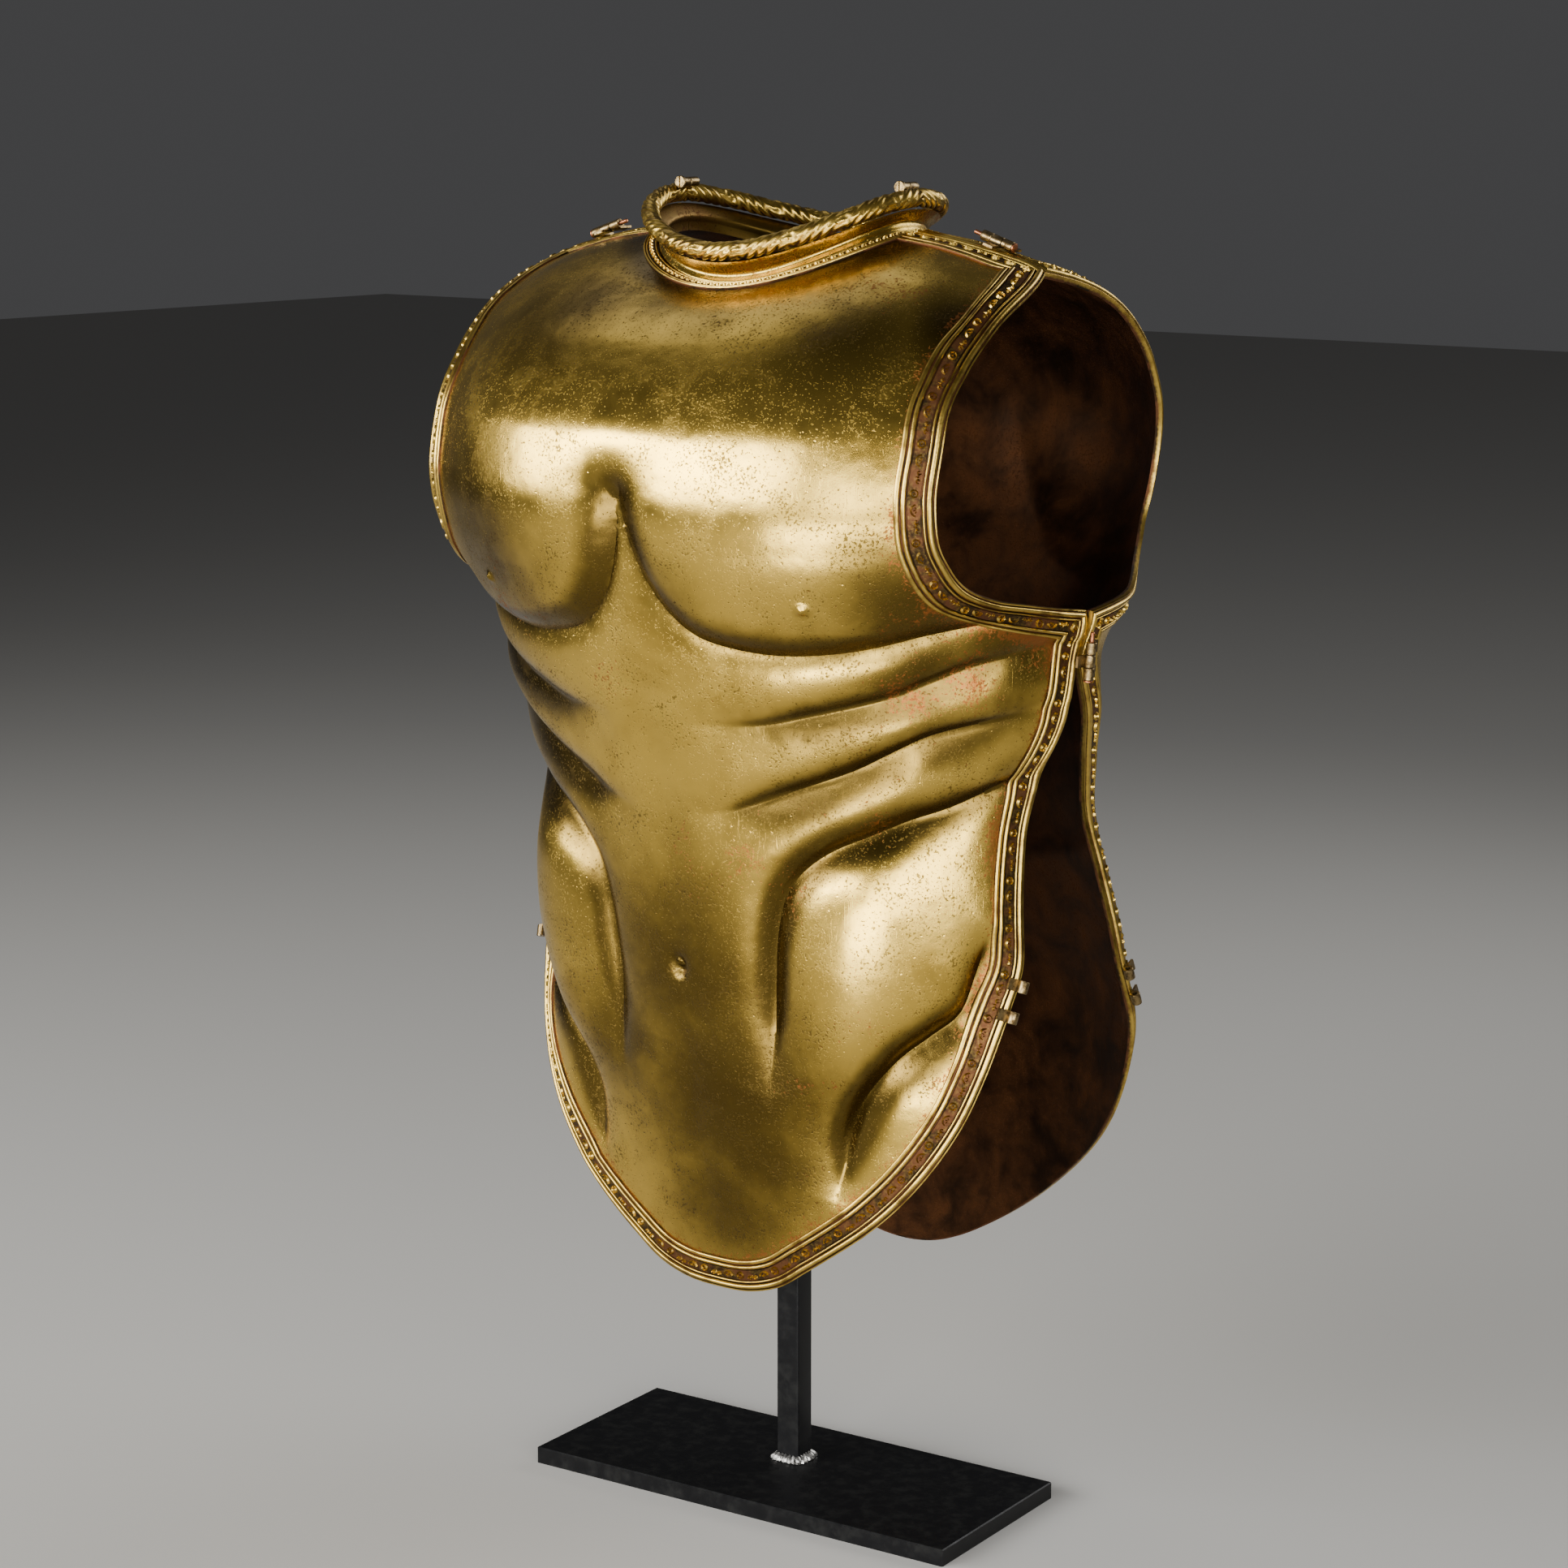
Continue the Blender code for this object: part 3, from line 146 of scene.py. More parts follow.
# broad swellings and small knobs: share of the relief, half width as a share of the half width, line
swellings = {
    -1: (("flank", 0.50, 0.190, ((44, 0.375), (38, 0.320), (37, 0.260))),
         ("lowerBelly", 0.15, 0.160, ((6, 0.120), (9, 0.200))),
         ("middleLine", -0.08, 0.050, ((0, 0.560), (0, 0.400), (0, 0.330))),
         ("nipple", 0.22, 0.013, ((32.6, 0.655), (32.6, 0.656))),
         ("navel", -0.42, 0.023, ((0, 0.316), (0, 0.311))),
         ("navelKnob", 0.38, 0.009, ((0, 0.317), (0, 0.318)))),
    1: (("shoulderBlade", 0.40, 0.230, ((34, 0.780), (30, 0.740))),
        ("loinSwell", 0.20, 0.150, ((17, 0.520), (16, 0.460), (17, 0.400))),
        ("seat", 0.50, 0.300, ((32, 0.230), (30, 0.190))))}
# lower edge of the chest muscles, and how far they stand out over the ribs below
pectoral = {"edge": ((0, 0.735), (1.6, 0.690), (4.5, 0.655), (9, 0.628), (15, 0.612), (27, 0.604),
                     (41, 0.611), (55, 0.629), (68, 0.642), (90, 0.650)),
            "swell": 1.05, "furrow": 0.45, "reachIn": 0.080, "reachOut": 0.060, "fadeFrom": 0.707,
            "fade": 0.19, "sideFrom": 48, "sideFade": 36, "soften": 0.0012}


def smoothCurve(xs, ys):
    # a smooth line through the points that never overshoots, and runs straight on past both ends
    xs, ys = np.array(xs, float), np.array(ys, float)
    steps = np.diff(ys) / np.diff(xs)
    product = steps[:-1] * steps[1:]
    total = np.where(product > 0, steps[:-1] + steps[1:], 1.0)
    inner = np.where(product > 0, 2 * product / total, 0.0)
    rates = np.concatenate(([steps[0]], inner, [steps[-1]]))

    def value(x):
        x = np.asarray(x, float)
        k = np.clip(np.searchsorted(xs, x) - 1, 0, len(xs) - 2)
        span = xs[k + 1] - xs[k]
        t = (x - xs[k]) / span
        within = (ys[k] * (1 + 2 * t) * (1 - t) ** 2 + ys[k + 1] * t * t * (3 - 2 * t)
                  + span * (rates[k] * t * (1 - t) ** 2 - rates[k + 1] * t * t * (1 - t)))
        below = ys[0] + (x - xs[0]) * rates[0]
        above = ys[-1] + (x - xs[-1]) * rates[-1]
        return np.where(x < xs[0], below, np.where(x > xs[-1], above, within))

    return value


section = {name: smoothCurve([row[0] for row in sections], [row[k + 1] for row in sections])
           for k, name in enumerate(sectionColumns)}


def skin(side, angle, up):
    # points of the smooth torso; side is -1 on the breast and 1 on the back
    angle, up = np.asarray(angle, float), np.asarray(up, float)
    name = "front" if side < 0 else "back"
    square = section[name + "Square"](up)
    s, c = np.sin(np.radians(angle)), np.cos(np.radians(angle))
    reach = (np.abs(s) ** square + np.abs(c) ** square) ** (-1 / square)
    width = section["width"](up)
    offset = np.full_like(width, torso["seam"])
    depth = torso["chestDepth"] * section[name](up)
    if side > 0:
        width = width + section["spread"](up)
        offset = offset + torso["backDepth"] * section["set"](up)
        depth = torso["backDepth"] * section[name](up)
    middle, edge = section[name + "Height"](up), section["side"](up)
    height = torso["hemLevel"] + torso["height"] * (middle + (edge - middle) * s * s)
    return np.stack((torso["halfWidth"] * width * s * reach,
                     side * (offset + depth * c * reach), height), axis=-1)


def unit(v):
    return v / np.maximum(np.linalg.norm(v, axis=-1, keepdims=True), 1e-12)


def skinFrame(side, angle, up):
    angle, up = np.asarray(angle, float), np.asarray(up, float)
    along = skin(side, angle + 0.5, up) - skin(side, angle - 0.5, up)
    upward = (skin(side, angle, up + 0.004) - skin(side, angle, up - 0.004)) / 0.008
    return along, upward, unit(np.cross(along, upward)) * -side


def flatPlace(angle, up):
    # place on the flat pattern, in metres, near enough to real lengths
    girth = (torso["halfWidth"] + torso["chestDepth"]) / 2
    return np.stack((np.radians(angle) * girth, np.asarray(up, float) * torso["pattern"]), axis=-1)


def distanceTo(line, places):
    best = np.full(places.shape[:-1], 1.0)
    for start, end in zip(line, line[1:]):
        run = end - start
        share = np.clip((places - start) @ run / max(run @ run, 1e-12), 0, 1)
        best = np.minimum(best, np.linalg.norm(places - start - share[..., None] * run, axis=-1))
    return best


def lengthAlong(points):
    return np.concatenate(([0], np.cumsum(np.linalg.norm(np.diff(points, axis=0), axis=1))))


def patternLine(points):
    return flatPlace(np.array([p[0] for p in points], float), [p[1] for p in points])


def smoothstep(t):
    t = np.clip(t, 0, 1)
    return t * t * (3 - 2 * t)


def patternCurve(points, steps=4):
    # a smooth line on the flat pattern, with whatever else its points hold
    fine = catmull(points, np.linspace(0, len(points) - 1, steps * (len(points) - 1) + 1))
    return flatPlace(fine[:, 0], fine[:, 1]), fine[:, 2:]


def besideLine(line, places):
    # how far places lie from a line, on which side of it (1 is its left), and how far along it
    away, left, along = np.full(len(places), 9.0), np.ones(len(places)), np.zeros(len(places))
    for k, (start, end) in enumerate(zip(line, line[1:])):
        run = end - start
        share = np.clip((places - start) @ run / max(run @ run, 1e-12), 0, 1)
        gap = places - start - share[:, None] * run
        length = np.linalg.norm(gap, axis=1)
        closer = length < away
        away = np.where(closer, length, away)
        left = np.where(closer, np.where(run[0] * gap[:, 1] - run[1] * gap[:, 0] > 0, 1, -1), left)
        along = np.where(closer, k + share, along)
    return away, left, along


def relief(side, angle, up):
    # how far the beaten sheet stands out from the smooth torso, and how deep it lies in a furrow
    shape, angle, up = np.shape(angle), np.abs(np.ravel(angle)), np.ravel(np.asarray(up, float))
    places = flatPlace(angle, up)
    rim = distanceTo(patternLine(edges[side]["armhole"]), places)
    out = torso["flare"] * np.exp(-(rim / torso["flareReach"]) ** 2)
    half, depth = torso["halfWidth"], torso["relief"]
    for name, size, width, line in swellings[side]:
        away = distanceTo(patternLine(line), places) / (width * half)
        out = out + size * depth * np.exp(-away ** 2)
    deepest = np.zeros(len(places))
    for name, size, steep, gentle, line in creases[side]:
        curve, strength = patternCurve(line)
        away, left, along = besideLine(curve, places)
        away = np.hypot(away, pectoral["soften"]) - pectoral["soften"]
        strength = np.interp(along, np.arange(len(curve)), strength[:, 0])
        deepest += (size * depth * strength * np.exp(-away / (np.where(left > 0, steep, gentle) * half))) ** 3
    furrow = np.cbrt(deepest)
    out, furrow = out - furrow, furrow / depth
    if side < 0:
        away, left, _ = besideLine(patternCurve(pectoral["edge"])[0], places)
        top = 1 - smoothstep((up - pectoral["fadeFrom"]) / pectoral["fade"])
        edge = 1 - smoothstep((angle - pectoral["sideFrom"]) / pectoral["sideFade"])
        near = np.exp(-away / (pectoral["reachIn"] * half))
        within = pectoral["swell"] * top * edge * (1 - near) - pectoral["furrow"] * near
        below = -pectoral["furrow"] * np.exp(-away / (pectoral["reachOut"] * half))
        out = out + depth * np.where(left > 0, within, below)
        furrow = furrow + np.where(left > 0, near * edge, -below)
    return out.reshape(shape), furrow.reshape(shape)


def sheetPoints(side, angle, up, lift=0.0):
    normal = skinFrame(side, angle, up)[2]
    out = relief(side, angle, up)[0] + lift
    return skin(side, angle, up) + normal * out[..., None]


def catmull(points, t):
    # places on a smooth line through the points; t counts points
    points = np.asarray(points, float)
    k = np.clip(np.floor(t).astype(int), 0, len(points) - 2)
    f = (t - k)[:, None]
    a, b = points[np.maximum(k - 1, 0)], points[k]
    c, d = points[k + 1], points[np.minimum(k + 2, len(points) - 1)]
    return 0.5 * (2 * b + (c - a) * f + (2 * a - 5 * b + 4 * c - d) * f * f
                  + (3 * b - a - 3 * c + d) * f ** 3)


def evenPlaces(side, points, facet):
    # places along a line of the pattern, evenly spaced on the sheet
    fine = catmull(points, np.linspace(0, len(points) - 1, 401))
    solid = skin(side, fine[:, 0], fine[:, 1])
    length = lengthAlong(solid)
    want = np.linspace(0, length[-1], max(3, round(length[-1] / facet)) + 1)
    places = np.stack([np.interp(want, length, fine[:, k]) for k in (0, 1)], axis=1)
    places[0], places[-1] = points[0], points[-1]
    return places


def mirrored(places):
    return places[::-1] * (-1, 1)


def inward(side, before, place, after, widthBefore, widthAfter):
    # the place that lies the given widths in from the edges before and after it
    along, upward, normal = skinFrame(side, *place)
    walls = []
    for a, b, width in ((before, place, widthBefore), (place, after, widthAfter)):
        run = skin(side, *b) - skin(side, *a)
        run = run - normal * (run @ normal)
        walls.append((unit(np.cross(normal, run)) * -side, width))
    (n1, w1), (n2, w2) = walls
    spread = 1 - (n1 @ n2) ** 2
    if spread < 0.08:
        move = unit(n1 + n2) * (w1 + w2) / 2
    else:
        move = n1 * ((w1 - w2 * (n1 @ n2)) / spread) + n2 * ((w2 - w1 * (n1 @ n2)) / spread)
    aa, ab, bb = along @ along, along @ upward, upward @ upward
    ma, mb = move @ along, move @ upward
    det = aa * bb - ab * ab
    return np.array((place[0] + (ma * bb - mb * ab) / det, place[1] + (mb * aa - ma * ab) / det))


def neckAngles():
    wide = 2 * border["neckEnd"] / (border["neckSteps"] - 2)
    return [90.0] + [border["neckEnd"] - wide * i for i in range(border["neckSteps"] - 1)] + [-90.0]


def plateRuns(side):
    # along each part of a plate's edge: places on the edge, and those a border's width inside
    around = np.array([(angle, 1.0) for angle in neckAngles()])
    band = border["neckBand"]
    neck = [inward(side, *around[i - 1:i + 2], band, band) for i in range(1, len(around) - 1)]
    neck = np.array([(90.0, neck[0][1])] + neck + [(-90.0, neck[-1][1])])
    hem = evenPlaces(side, edges[side]["side"], border["ladder"])
    arm = evenPlaces(side, edges[side]["armhole"], border["ladder"])
    seam = evenPlaces(side, (arm[-1], (arm[-1] + neck[0]) / 2, neck[0]), border["ladder"])
    parts = (("shoulderRight", mirrored(seam)), ("armholeRight", mirrored(arm)),
             ("hem", np.concatenate((mirrored(hem)[:-1], hem))), ("armholeLeft", arm),
             ("shoulderLeft", seam))
    chain = np.concatenate([parts[0][1][:1]] + [places[1:] for _, places in parts])
    inner = [neck[-2]]
    for i in range(1, len(chain) - 1):
        inner.append(inward(side, *chain[i - 1:i + 2], border["stripWidth"], border["stripWidth"]))
    inner = np.array(inner + [neck[1]])
    runs, first = {"neck": (around, neck)}, 0
    for name, places in parts:
        last = first + len(places) - 1
        runs[name] = (chain[first:last + 1], inner[first:last + 1])
        first = last
    return runs


def fineRun(side, run, spacing):
    # the same ladder of places, smoothly and evenly filled in
    edge, inner = run
    t = np.linspace(0, len(edge) - 1, 20 * (len(edge) - 1) + 1)
    fine = catmull(edge, t)
    solid = skin(side, fine[:, 0], fine[:, 1])
    length = lengthAlong(solid)
    want = np.linspace(0, length[-1], max(4, round(length[-1] / spacing)) + 1)
    even = np.interp(want, length, t)
    return catmull(edge, even), catmull(inner, even), want


runs = {side: plateRuns(side) for side in (-1, 1)}
print("edges of both plates laid out")


def linear(hexColour):
    # an sRGB hex value as linear light
    values = [int(hexColour[i:i + 2], 16) / 255 for i in (1, 3, 5)]
    return tuple(v / 12.92 if v <= 0.04045 else ((v + 0.055) / 1.055) ** 2.4 for v in values) + (1.0,)


def addNode(tree, kind, links=None, **settings):
    # one node with its settings; a link comes from a node's first live output, or from a named one
    node = tree.nodes.new(kind)
    for key, value in settings.items():
        setattr(node, key, value)
    for key, value in (links or {}).items():
        spot = next(i for k, i in enumerate(node.inputs) if i.enabled and key in (k, i.name))
        if isinstance(value, str) and value.startswith("#"):
            spot.default_value = linear(value)
        elif isinstance(value, bpy.types.Node):
            tree.links.new(next(o for o in value.outputs if o.enabled), spot)
        elif isinstance(value, bpy.types.NodeSocket):
            tree.links.new(value, spot)
        else:
            spot.default_value = value
    return node


def newMaterial(name, colour, roughness, metallic):
    # a named material with the numbers that are the same all over set on the shader itself
    material = bpy.data.materials.new(name)
    material.use_nodes = True
    shader = material.node_tree.nodes["Principled BSDF"]
    shader.inputs["Base Color"].default_value = linear(colour)
    shader.inputs["Roughness"].default_value = roughness
    shader.inputs["Metallic"].default_value = metallic
    return material, material.node_tree, shader


# bronze that was polished long ago: gold where handled, olive and brown clouds, brown painted shade in the
# furrows, red where it is bared
bronzeLook = {"gold": "#e2bc55", "olive": "#ab8a38", "stainAndShadeBrown": "#4a3a1a", "copper": "#9a5a2c",
              "insideDark": "#2a1c12", "insideBrown": "#5a3820", "cloud": 70 * mm, "patch": 26 * mm,
              "speck": 3.2 * mm, "fleck": 1.3 * mm, "pit": 5.5 * mm, "hammer": 24 * mm, "scratch": 1.1 * mm}


def makeBeatenBronze():
    # tin bronze sheet, beaten and polished: a soft wide sheen broken by tarnish, painted shade in the
    # furrows, flecks and dents
    look = bronzeLook
    material, tree, shader = newMaterial("beaten tin bronze", look["gold"], 0.26, 1.0)
    place = addNode(tree, "ShaderNodeTexCoord").outputs["Object"]
    cloud, patch, speck, fleck, hammer = [
        addNode(tree, "ShaderNodeTexNoise", {"Vector": place, "Scale": 1 / look[layer], "Detail": detail,
                                             "Roughness": rough, "Distortion": twist})
        for layer, detail, rough, twist in (("cloud", 4.0, 0.6, 0.4), ("patch", 6.0, 0.65, 0.3),
                                            ("speck", 4.0, 0.7, 0.0), ("fleck", 3.0, 0.6, 0.0),
                                            ("hammer", 2.0, 0.5, 0.0))]
    stainAndShade, edge, bare, inside = [addNode(tree, "ShaderNodeAttribute", attribute_name=key).outputs["Fac"]
                                 for key in ("stainAndShade", "edgeTone", "bare", "inside")]
    # olive clouds, brown stains mixed with brown painted shade in the furrows, dark flecks in drifts, copper
    # red along the
    # soldered edges and in bared spots: colour, sum of layers that drives it, where it sets in, where it is
    # full, and how strong
    tone, shown = look["gold"], []
    for colour, drivers, least, most, strength in (
            ("olive", ((cloud, 1.0),), 0.48, 0.80, 1.0),
            ("stainAndShadeBrown", ((stainAndShade, 1.0), (patch, 0.7)), 0.40, 1.35, 0.92),
            ("stainAndShadeBrown", ((fleck, 1.0), (patch, 0.5)), 0.83, 0.91, 0.8),
            ("copper", ((edge, 0.13), (bare, 0.13), (patch, 0.30), (speck, 0.35), (fleck, 0.35)),
             0.61, 0.68, 0.75)):
        total = 0.0
        for layer, share in drivers:
            total = addNode(tree, "ShaderNodeMath", {0: layer, 1: share, 2: total},
                            operation="MULTIPLY_ADD")
        shown.append(addNode(tree, "ShaderNodeMapRange", {"Value": total, "From Min": least,
                                                          "From Max": most, "To Max": strength},
                             interpolation_type="SMOOTHSTEP"))
        tone = addNode(tree, "ShaderNodeMix", {"Factor": shown[-1], "A": tone, "B": look[colour]},
                       data_type="RGBA")
    drift, red = shown[2:]
    spots = addNode(tree, "ShaderNodeMapRange", {"Value": patch, "From Min": 0.30, "From Max": 0.75},
                    interpolation_type="SMOOTHSTEP")
    hidden = addNode(tree, "ShaderNodeMix", {"Factor": spots, "A": look["insideDark"],
                                             "B": look["insideBrown"]}, data_type="RGBA")
    tone = addNode(tree, "ShaderNodeMix", {"Factor": inside, "A": tone, "B": hidden}, data_type="RGBA")
    tree.links.new(tone.outputs[2], shader.inputs["Base Color"])
    rough = addNode(tree, "ShaderNodeMapRange", {"Value": patch, "From Min": 0.30, "From Max": 0.75,
                                                 "To Min": 0.20, "To Max": 0.33})
    for layer, share in ((inside, 0.28), (red, 0.14), (drift, 0.20)):
        rough = addNode(tree, "ShaderNodeMath", {0: layer, 1: share, 2: rough}, operation="MULTIPLY_ADD")
    tree.links.new(rough.outputs[0], shader.inputs["Roughness"])
    stretched = addNode(tree, "ShaderNodeMapping", {"Vector": place, "Scale": (1.0, 1.0, 0.06),
                                                    "Rotation": (0.5, 0.35, 0.2)})
    scratch = addNode(tree, "ShaderNodeTexNoise", {"Vector": stretched, "Scale": 1 / look["scratch"],
                                                   "Detail": 2.0, "Roughness": 0.6})
    scratch = addNode(tree, "ShaderNodeMapRange", {"Value": scratch, "From Min": 0.62, "From Max": 0.75})
    pit = addNode(tree, "ShaderNodeTexVoronoi", {"Vector": place, "Scale": 1 / look["pit"]})
    pit = addNode(tree, "ShaderNodeMapRange", {"Value": pit.outputs["Distance"], "From Min": 0.03,
                                               "From Max": 0.13, "To Min": -1.0, "To Max": 0.0})
    bump = None
    for layer, depth in ((hammer, 0.55), (speck, 0.05), (drift, -0.06), (scratch, 0.03), (pit, 0.10)):
        below = {"Normal": bump} if bump else {}
        bump = addNode(tree, "ShaderNodeBump", {"Height": layer, "Distance": depth * mm, **below})
    tree.links.new(bump.outputs[0], shader.inputs["Normal"])
    return material


# dark groove colours, also used for the painted shade under the rope rims
castLook = {"bright": "#c9a850", "dull": "#80662e", "grooveDirtAndShade": "#33261a", "redGroove": "#5e3d28",
            "patch": 12 * mm, "speck": 1.6 * mm, "grain": 4 * mm}


def makeCastBronze():
    # cast and chased bronze: worn bright on the ridges, dark wax and dirt in the grooves, and painted shade
    # on the undersides of the rope rims
    look = castLook
    material, tree, shader = newMaterial("chased cast bronze", look["bright"], 0.3, 1.0)
    place = addNode(tree, "ShaderNodeTexCoord").outputs["Object"]
    # darkness of dirt in the grooves, and of painted shade under the rope rims
    deep = addNode(tree, "ShaderNodeAttribute", attribute_name="grooveDirtAndShade").outputs["Fac"]
    patch, speck, grain = [
        addNode(tree, "ShaderNodeTexNoise", {"Vector": place, "Scale": 1 / look[layer], "Detail": detail,
                                             "Roughness": 0.6})
        for layer, detail in (("patch", 5.0), ("speck", 3.0), ("grain", 4.0))]
    worn = addNode(tree, "ShaderNodeMapRange", {"Value": patch, "From Min": 0.42, "From Max": 0.70},
                   interpolation_type="SMOOTHSTEP")
    tone = addNode(tree, "ShaderNodeMix", {"Factor": worn, "A": look["bright"], "B": look["dull"]},
                   data_type="RGBA")
    reddish = addNode(tree, "ShaderNodeMapRange", {"Value": patch, "From Min": 0.42, "From Max": 0.58},
                      interpolation_type="SMOOTHSTEP")
    low = addNode(tree, "ShaderNodeMix", {"Factor": reddish, "A": look["grooveDirtAndShade"], "B": look["redGroove"]},
                  data_type="RGBA")
    mask = addNode(tree, "ShaderNodeMath", {0: speck, 1: 0.4, 2: deep}, operation="MULTIPLY_ADD")
    mask = addNode(tree, "ShaderNodeMapRange", {"Value": mask, "From Min": 0.62, "From Max": 1.05},
                   interpolation_type="SMOOTHSTEP")
    tone = addNode(tree, "ShaderNodeMix", {"Factor": mask, "A": tone, "B": low}, data_type="RGBA")
    tree.links.new(tone.outputs[2], shader.inputs["Base Color"])
    rough = addNode(tree, "ShaderNodeMapRange", {"Value": mask, "To Min": 0.32, "To Max": 0.6})
    tree.links.new(rough.outputs[0], shader.inputs["Roughness"])
    bump = addNode(tree, "ShaderNodeBump", {"Height": grain, "Distance": 0.15 * mm})
    bump = addNode(tree, "ShaderNodeBump", {"Height": speck, "Distance": 0.06 * mm, "Normal": bump})
    tree.links.new(bump.outputs[0], shader.inputs["Normal"])
    return material


# finishes that are one tone clouded by another: what it is, colours, pattern size, roughness, metal, bump
cloudedLooks = {
    "worn": ("handled bronze", "#8f7a52", "#48371f", 3 * mm, (0.26, 0.48), 1.0, 0.15 * mm),
    "pin": ("dull copper wire", "#b0714c", "#5b3a26", 2 * mm, (0.36, 0.52), 1.0, 0.08 * mm),
    "black": ("black coated steel", "#080809", "#131312", 9 * mm, (0.34, 0.52), 0.0, 0.02 * mm),
    "weld": ("bare weld steel", "#a9a7a3", "#25231f", 2.5 * mm, (0.30, 0.50), 1.0, 0.30 * mm)}


def makeClouded(key):
    # bronze knuckles rubbed pale, reddish pin wire, a satin black coat with dust, lumpy weld metal
    name, light, dark, size, (smooth, rough), metallic, depth = cloudedLooks[key]
    material, tree, shader = newMaterial(name, light, smooth, metallic)
    place = addNode(tree, "ShaderNodeTexCoord").outputs["Object"]
    patch = addNode(tree, "ShaderNodeTexNoise", {"Vector": place, "Scale": 1 / size, "Detail": 5.0,
                                                 "Roughness": 0.65})
    share = addNode(tree, "ShaderNodeMapRange", {"Value": patch, "From Min": 0.42, "From Max": 0.68},
                    interpolation_type="SMOOTHSTEP")
    tone = addNode(tree, "ShaderNodeMix", {"Factor": share, "A": light, "B": dark}, data_type="RGBA")
    tree.links.new(tone.outputs[2], shader.inputs["Base Color"])
    gloss = addNode(tree, "ShaderNodeMapRange", {"Value": patch, "From Min": 0.3, "From Max": 0.7,
                                                 "To Min": smooth, "To Max": rough})
    tree.links.new(gloss.outputs[0], shader.inputs["Roughness"])
    bump = addNode(tree, "ShaderNodeBump", {"Height": patch, "Distance": depth})
    tree.links.new(bump.outputs[0], shader.inputs["Normal"])
    return material


finishes = {"sheet": makeBeatenBronze(), "cast": makeCastBronze()}
finishes.update({key: makeClouded(key) for key in cloudedLooks})
# the coat is thin and matt, with hardly any gloss of its own
finishes["black"].node_tree.nodes["Principled BSDF"].inputs["Specular IOR Level"].default_value = 0.2
print("materials made")


def makeMesh(name, points, faces, sharp=38.0, attributes=None):
    # a closed mesh with its faces outward and its numbers for the finish
    mesh = bpy.data.meshes.new(name)
    mesh.from_pydata([tuple(p) for p in points], [], [tuple(int(k) for k in f) for f in faces])
    for key, values in (attributes or {}).items():
        layer = mesh.attributes.new(key, "FLOAT", "POINT")
        layer.data.foreach_set("value", np.asarray(values, np.float32))
    bm = bmesh.new()
    bm.from_mesh(mesh)
    bmesh.ops.recalc_face_normals(bm, faces=bm.faces[:])
    if bm.calc_volume(signed=True) < 0:
        bmesh.ops.reverse_faces(bm, faces=bm.faces[:])
    bm.to_mesh(mesh)
    bm.free()
    mesh.shade_smooth()
    mesh.set_sharp_from_angle(angle=math.radians(sharp))
    return mesh


def addPiece(name, points, faces, finish, replaced, sharp=38.0, attributes=None):
    # a finished piece: mesh in place, finish, and what it stands for
    mesh = makeMesh(name, points, faces, sharp, attributes)
    mesh.materials.append(finishes[finish])
    piece = bpy.data.objects.new(name, mesh)
    scene.collection.objects.link(piece)
    settle(piece, replaced)
    return piece


def settle(piece, replaced):
    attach(piece, "root")
    if replaced:
        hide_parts(*replaced)


plates = {-1: {"name": "beatenBreastplate", "node": "breastplate", "facet": 3.2 * mm,
               "rows": [row * mm for row in (0, -1.5, 1.5, -3.3, 3.3, -5.6, 5.6)],
               "rowFacet": 2.2 * mm, "furrowShade": 0.95, "neckShade": 16 * mm},
          1: {"name": "beatenBackplate", "node": "backplate", "facet": 3.8 * mm,
              "rows": (0, -3 * mm, 3 * mm), "rowFacet": 3.4 * mm, "furrowShade": 0.7,
              "neckShade": 16 * mm}}
# reach of the red along the strips, how fast the painted shade in the furrows sets in, and the fine grid
# round the small knobs
sheetTones = {"edgeReach": 7 * mm, "furrowShadeRise": 1.9, "furrowShadeFrom": 0.1}
knobGrid = {"widest": 0.03, "reach": 6 * mm, "steps": 8}
# darker patches seen on the breastplate, partly tarnish clouds and partly painted shade and painted dark
# reflection: degrees, share of the height, size in metres, strength
tarnishAndShadePatches = ((0, 0.31, 0.085, 0.95), (3, 0.40, 0.055, 0.6), (8, 0.20, 0.09, 1.0), (14, 0.15, 0.05, 1.0),
          (-16, 0.24, 0.06, 0.9), (-20, 0.36, 0.07, 0.7), (-30, 0.68, 0.06, 0.8), (8, 0.655, 0.03, 0.6),
          (52, 0.66, 0.055, 1.0), (36, 0.645, 0.04, 0.5), (-25, 0.90, 0.05, 0.6), (40, 0.88, 0.055, 0.7),
          (60, 0.86, 0.035, 0.9), (-6, 0.93, 0.030, 0.5), (10, 0.90, 0.03, 0.4), (52, 0.60, 0.045, 0.9),
          (70, 0.62, 0.05, 0.9), (5, 0.10, 0.06, 0.9), (66, 0.20, 0.03, 0.6), (78, 0.48, 0.03, 0.7),
          (80, 0.30, 0.03, 0.5), (72, 0.56, 0.03, 0.7))
# spots where the copper red shows on the breastplate, in the same terms
baredSpots = ((18, 0.415, 0.022, 0.9), (24, 0.395, 0.016, 0.8), (5, 0.42, 0.02, 0.6), (62, 0.585, 0.03, 1.0),
              (50, 0.570, 0.025, 0.9), (76, 0.62, 0.03, 0.8), (45, 0.455, 0.02, 0.7), (40, 0.285, 0.02, 0.7),
              (47, 0.640, 0.02, 0.5), (30, 0.96, 0.03, 0.7), (52, 0.93, 0.03, 0.9), (-30, 0.62, 0.03, 0.7),
              (-8, 0.57, 0.02, 0.6), (74, 0.43, 0.02, 0.8), (30, 0.22, 0.02, 0.5))


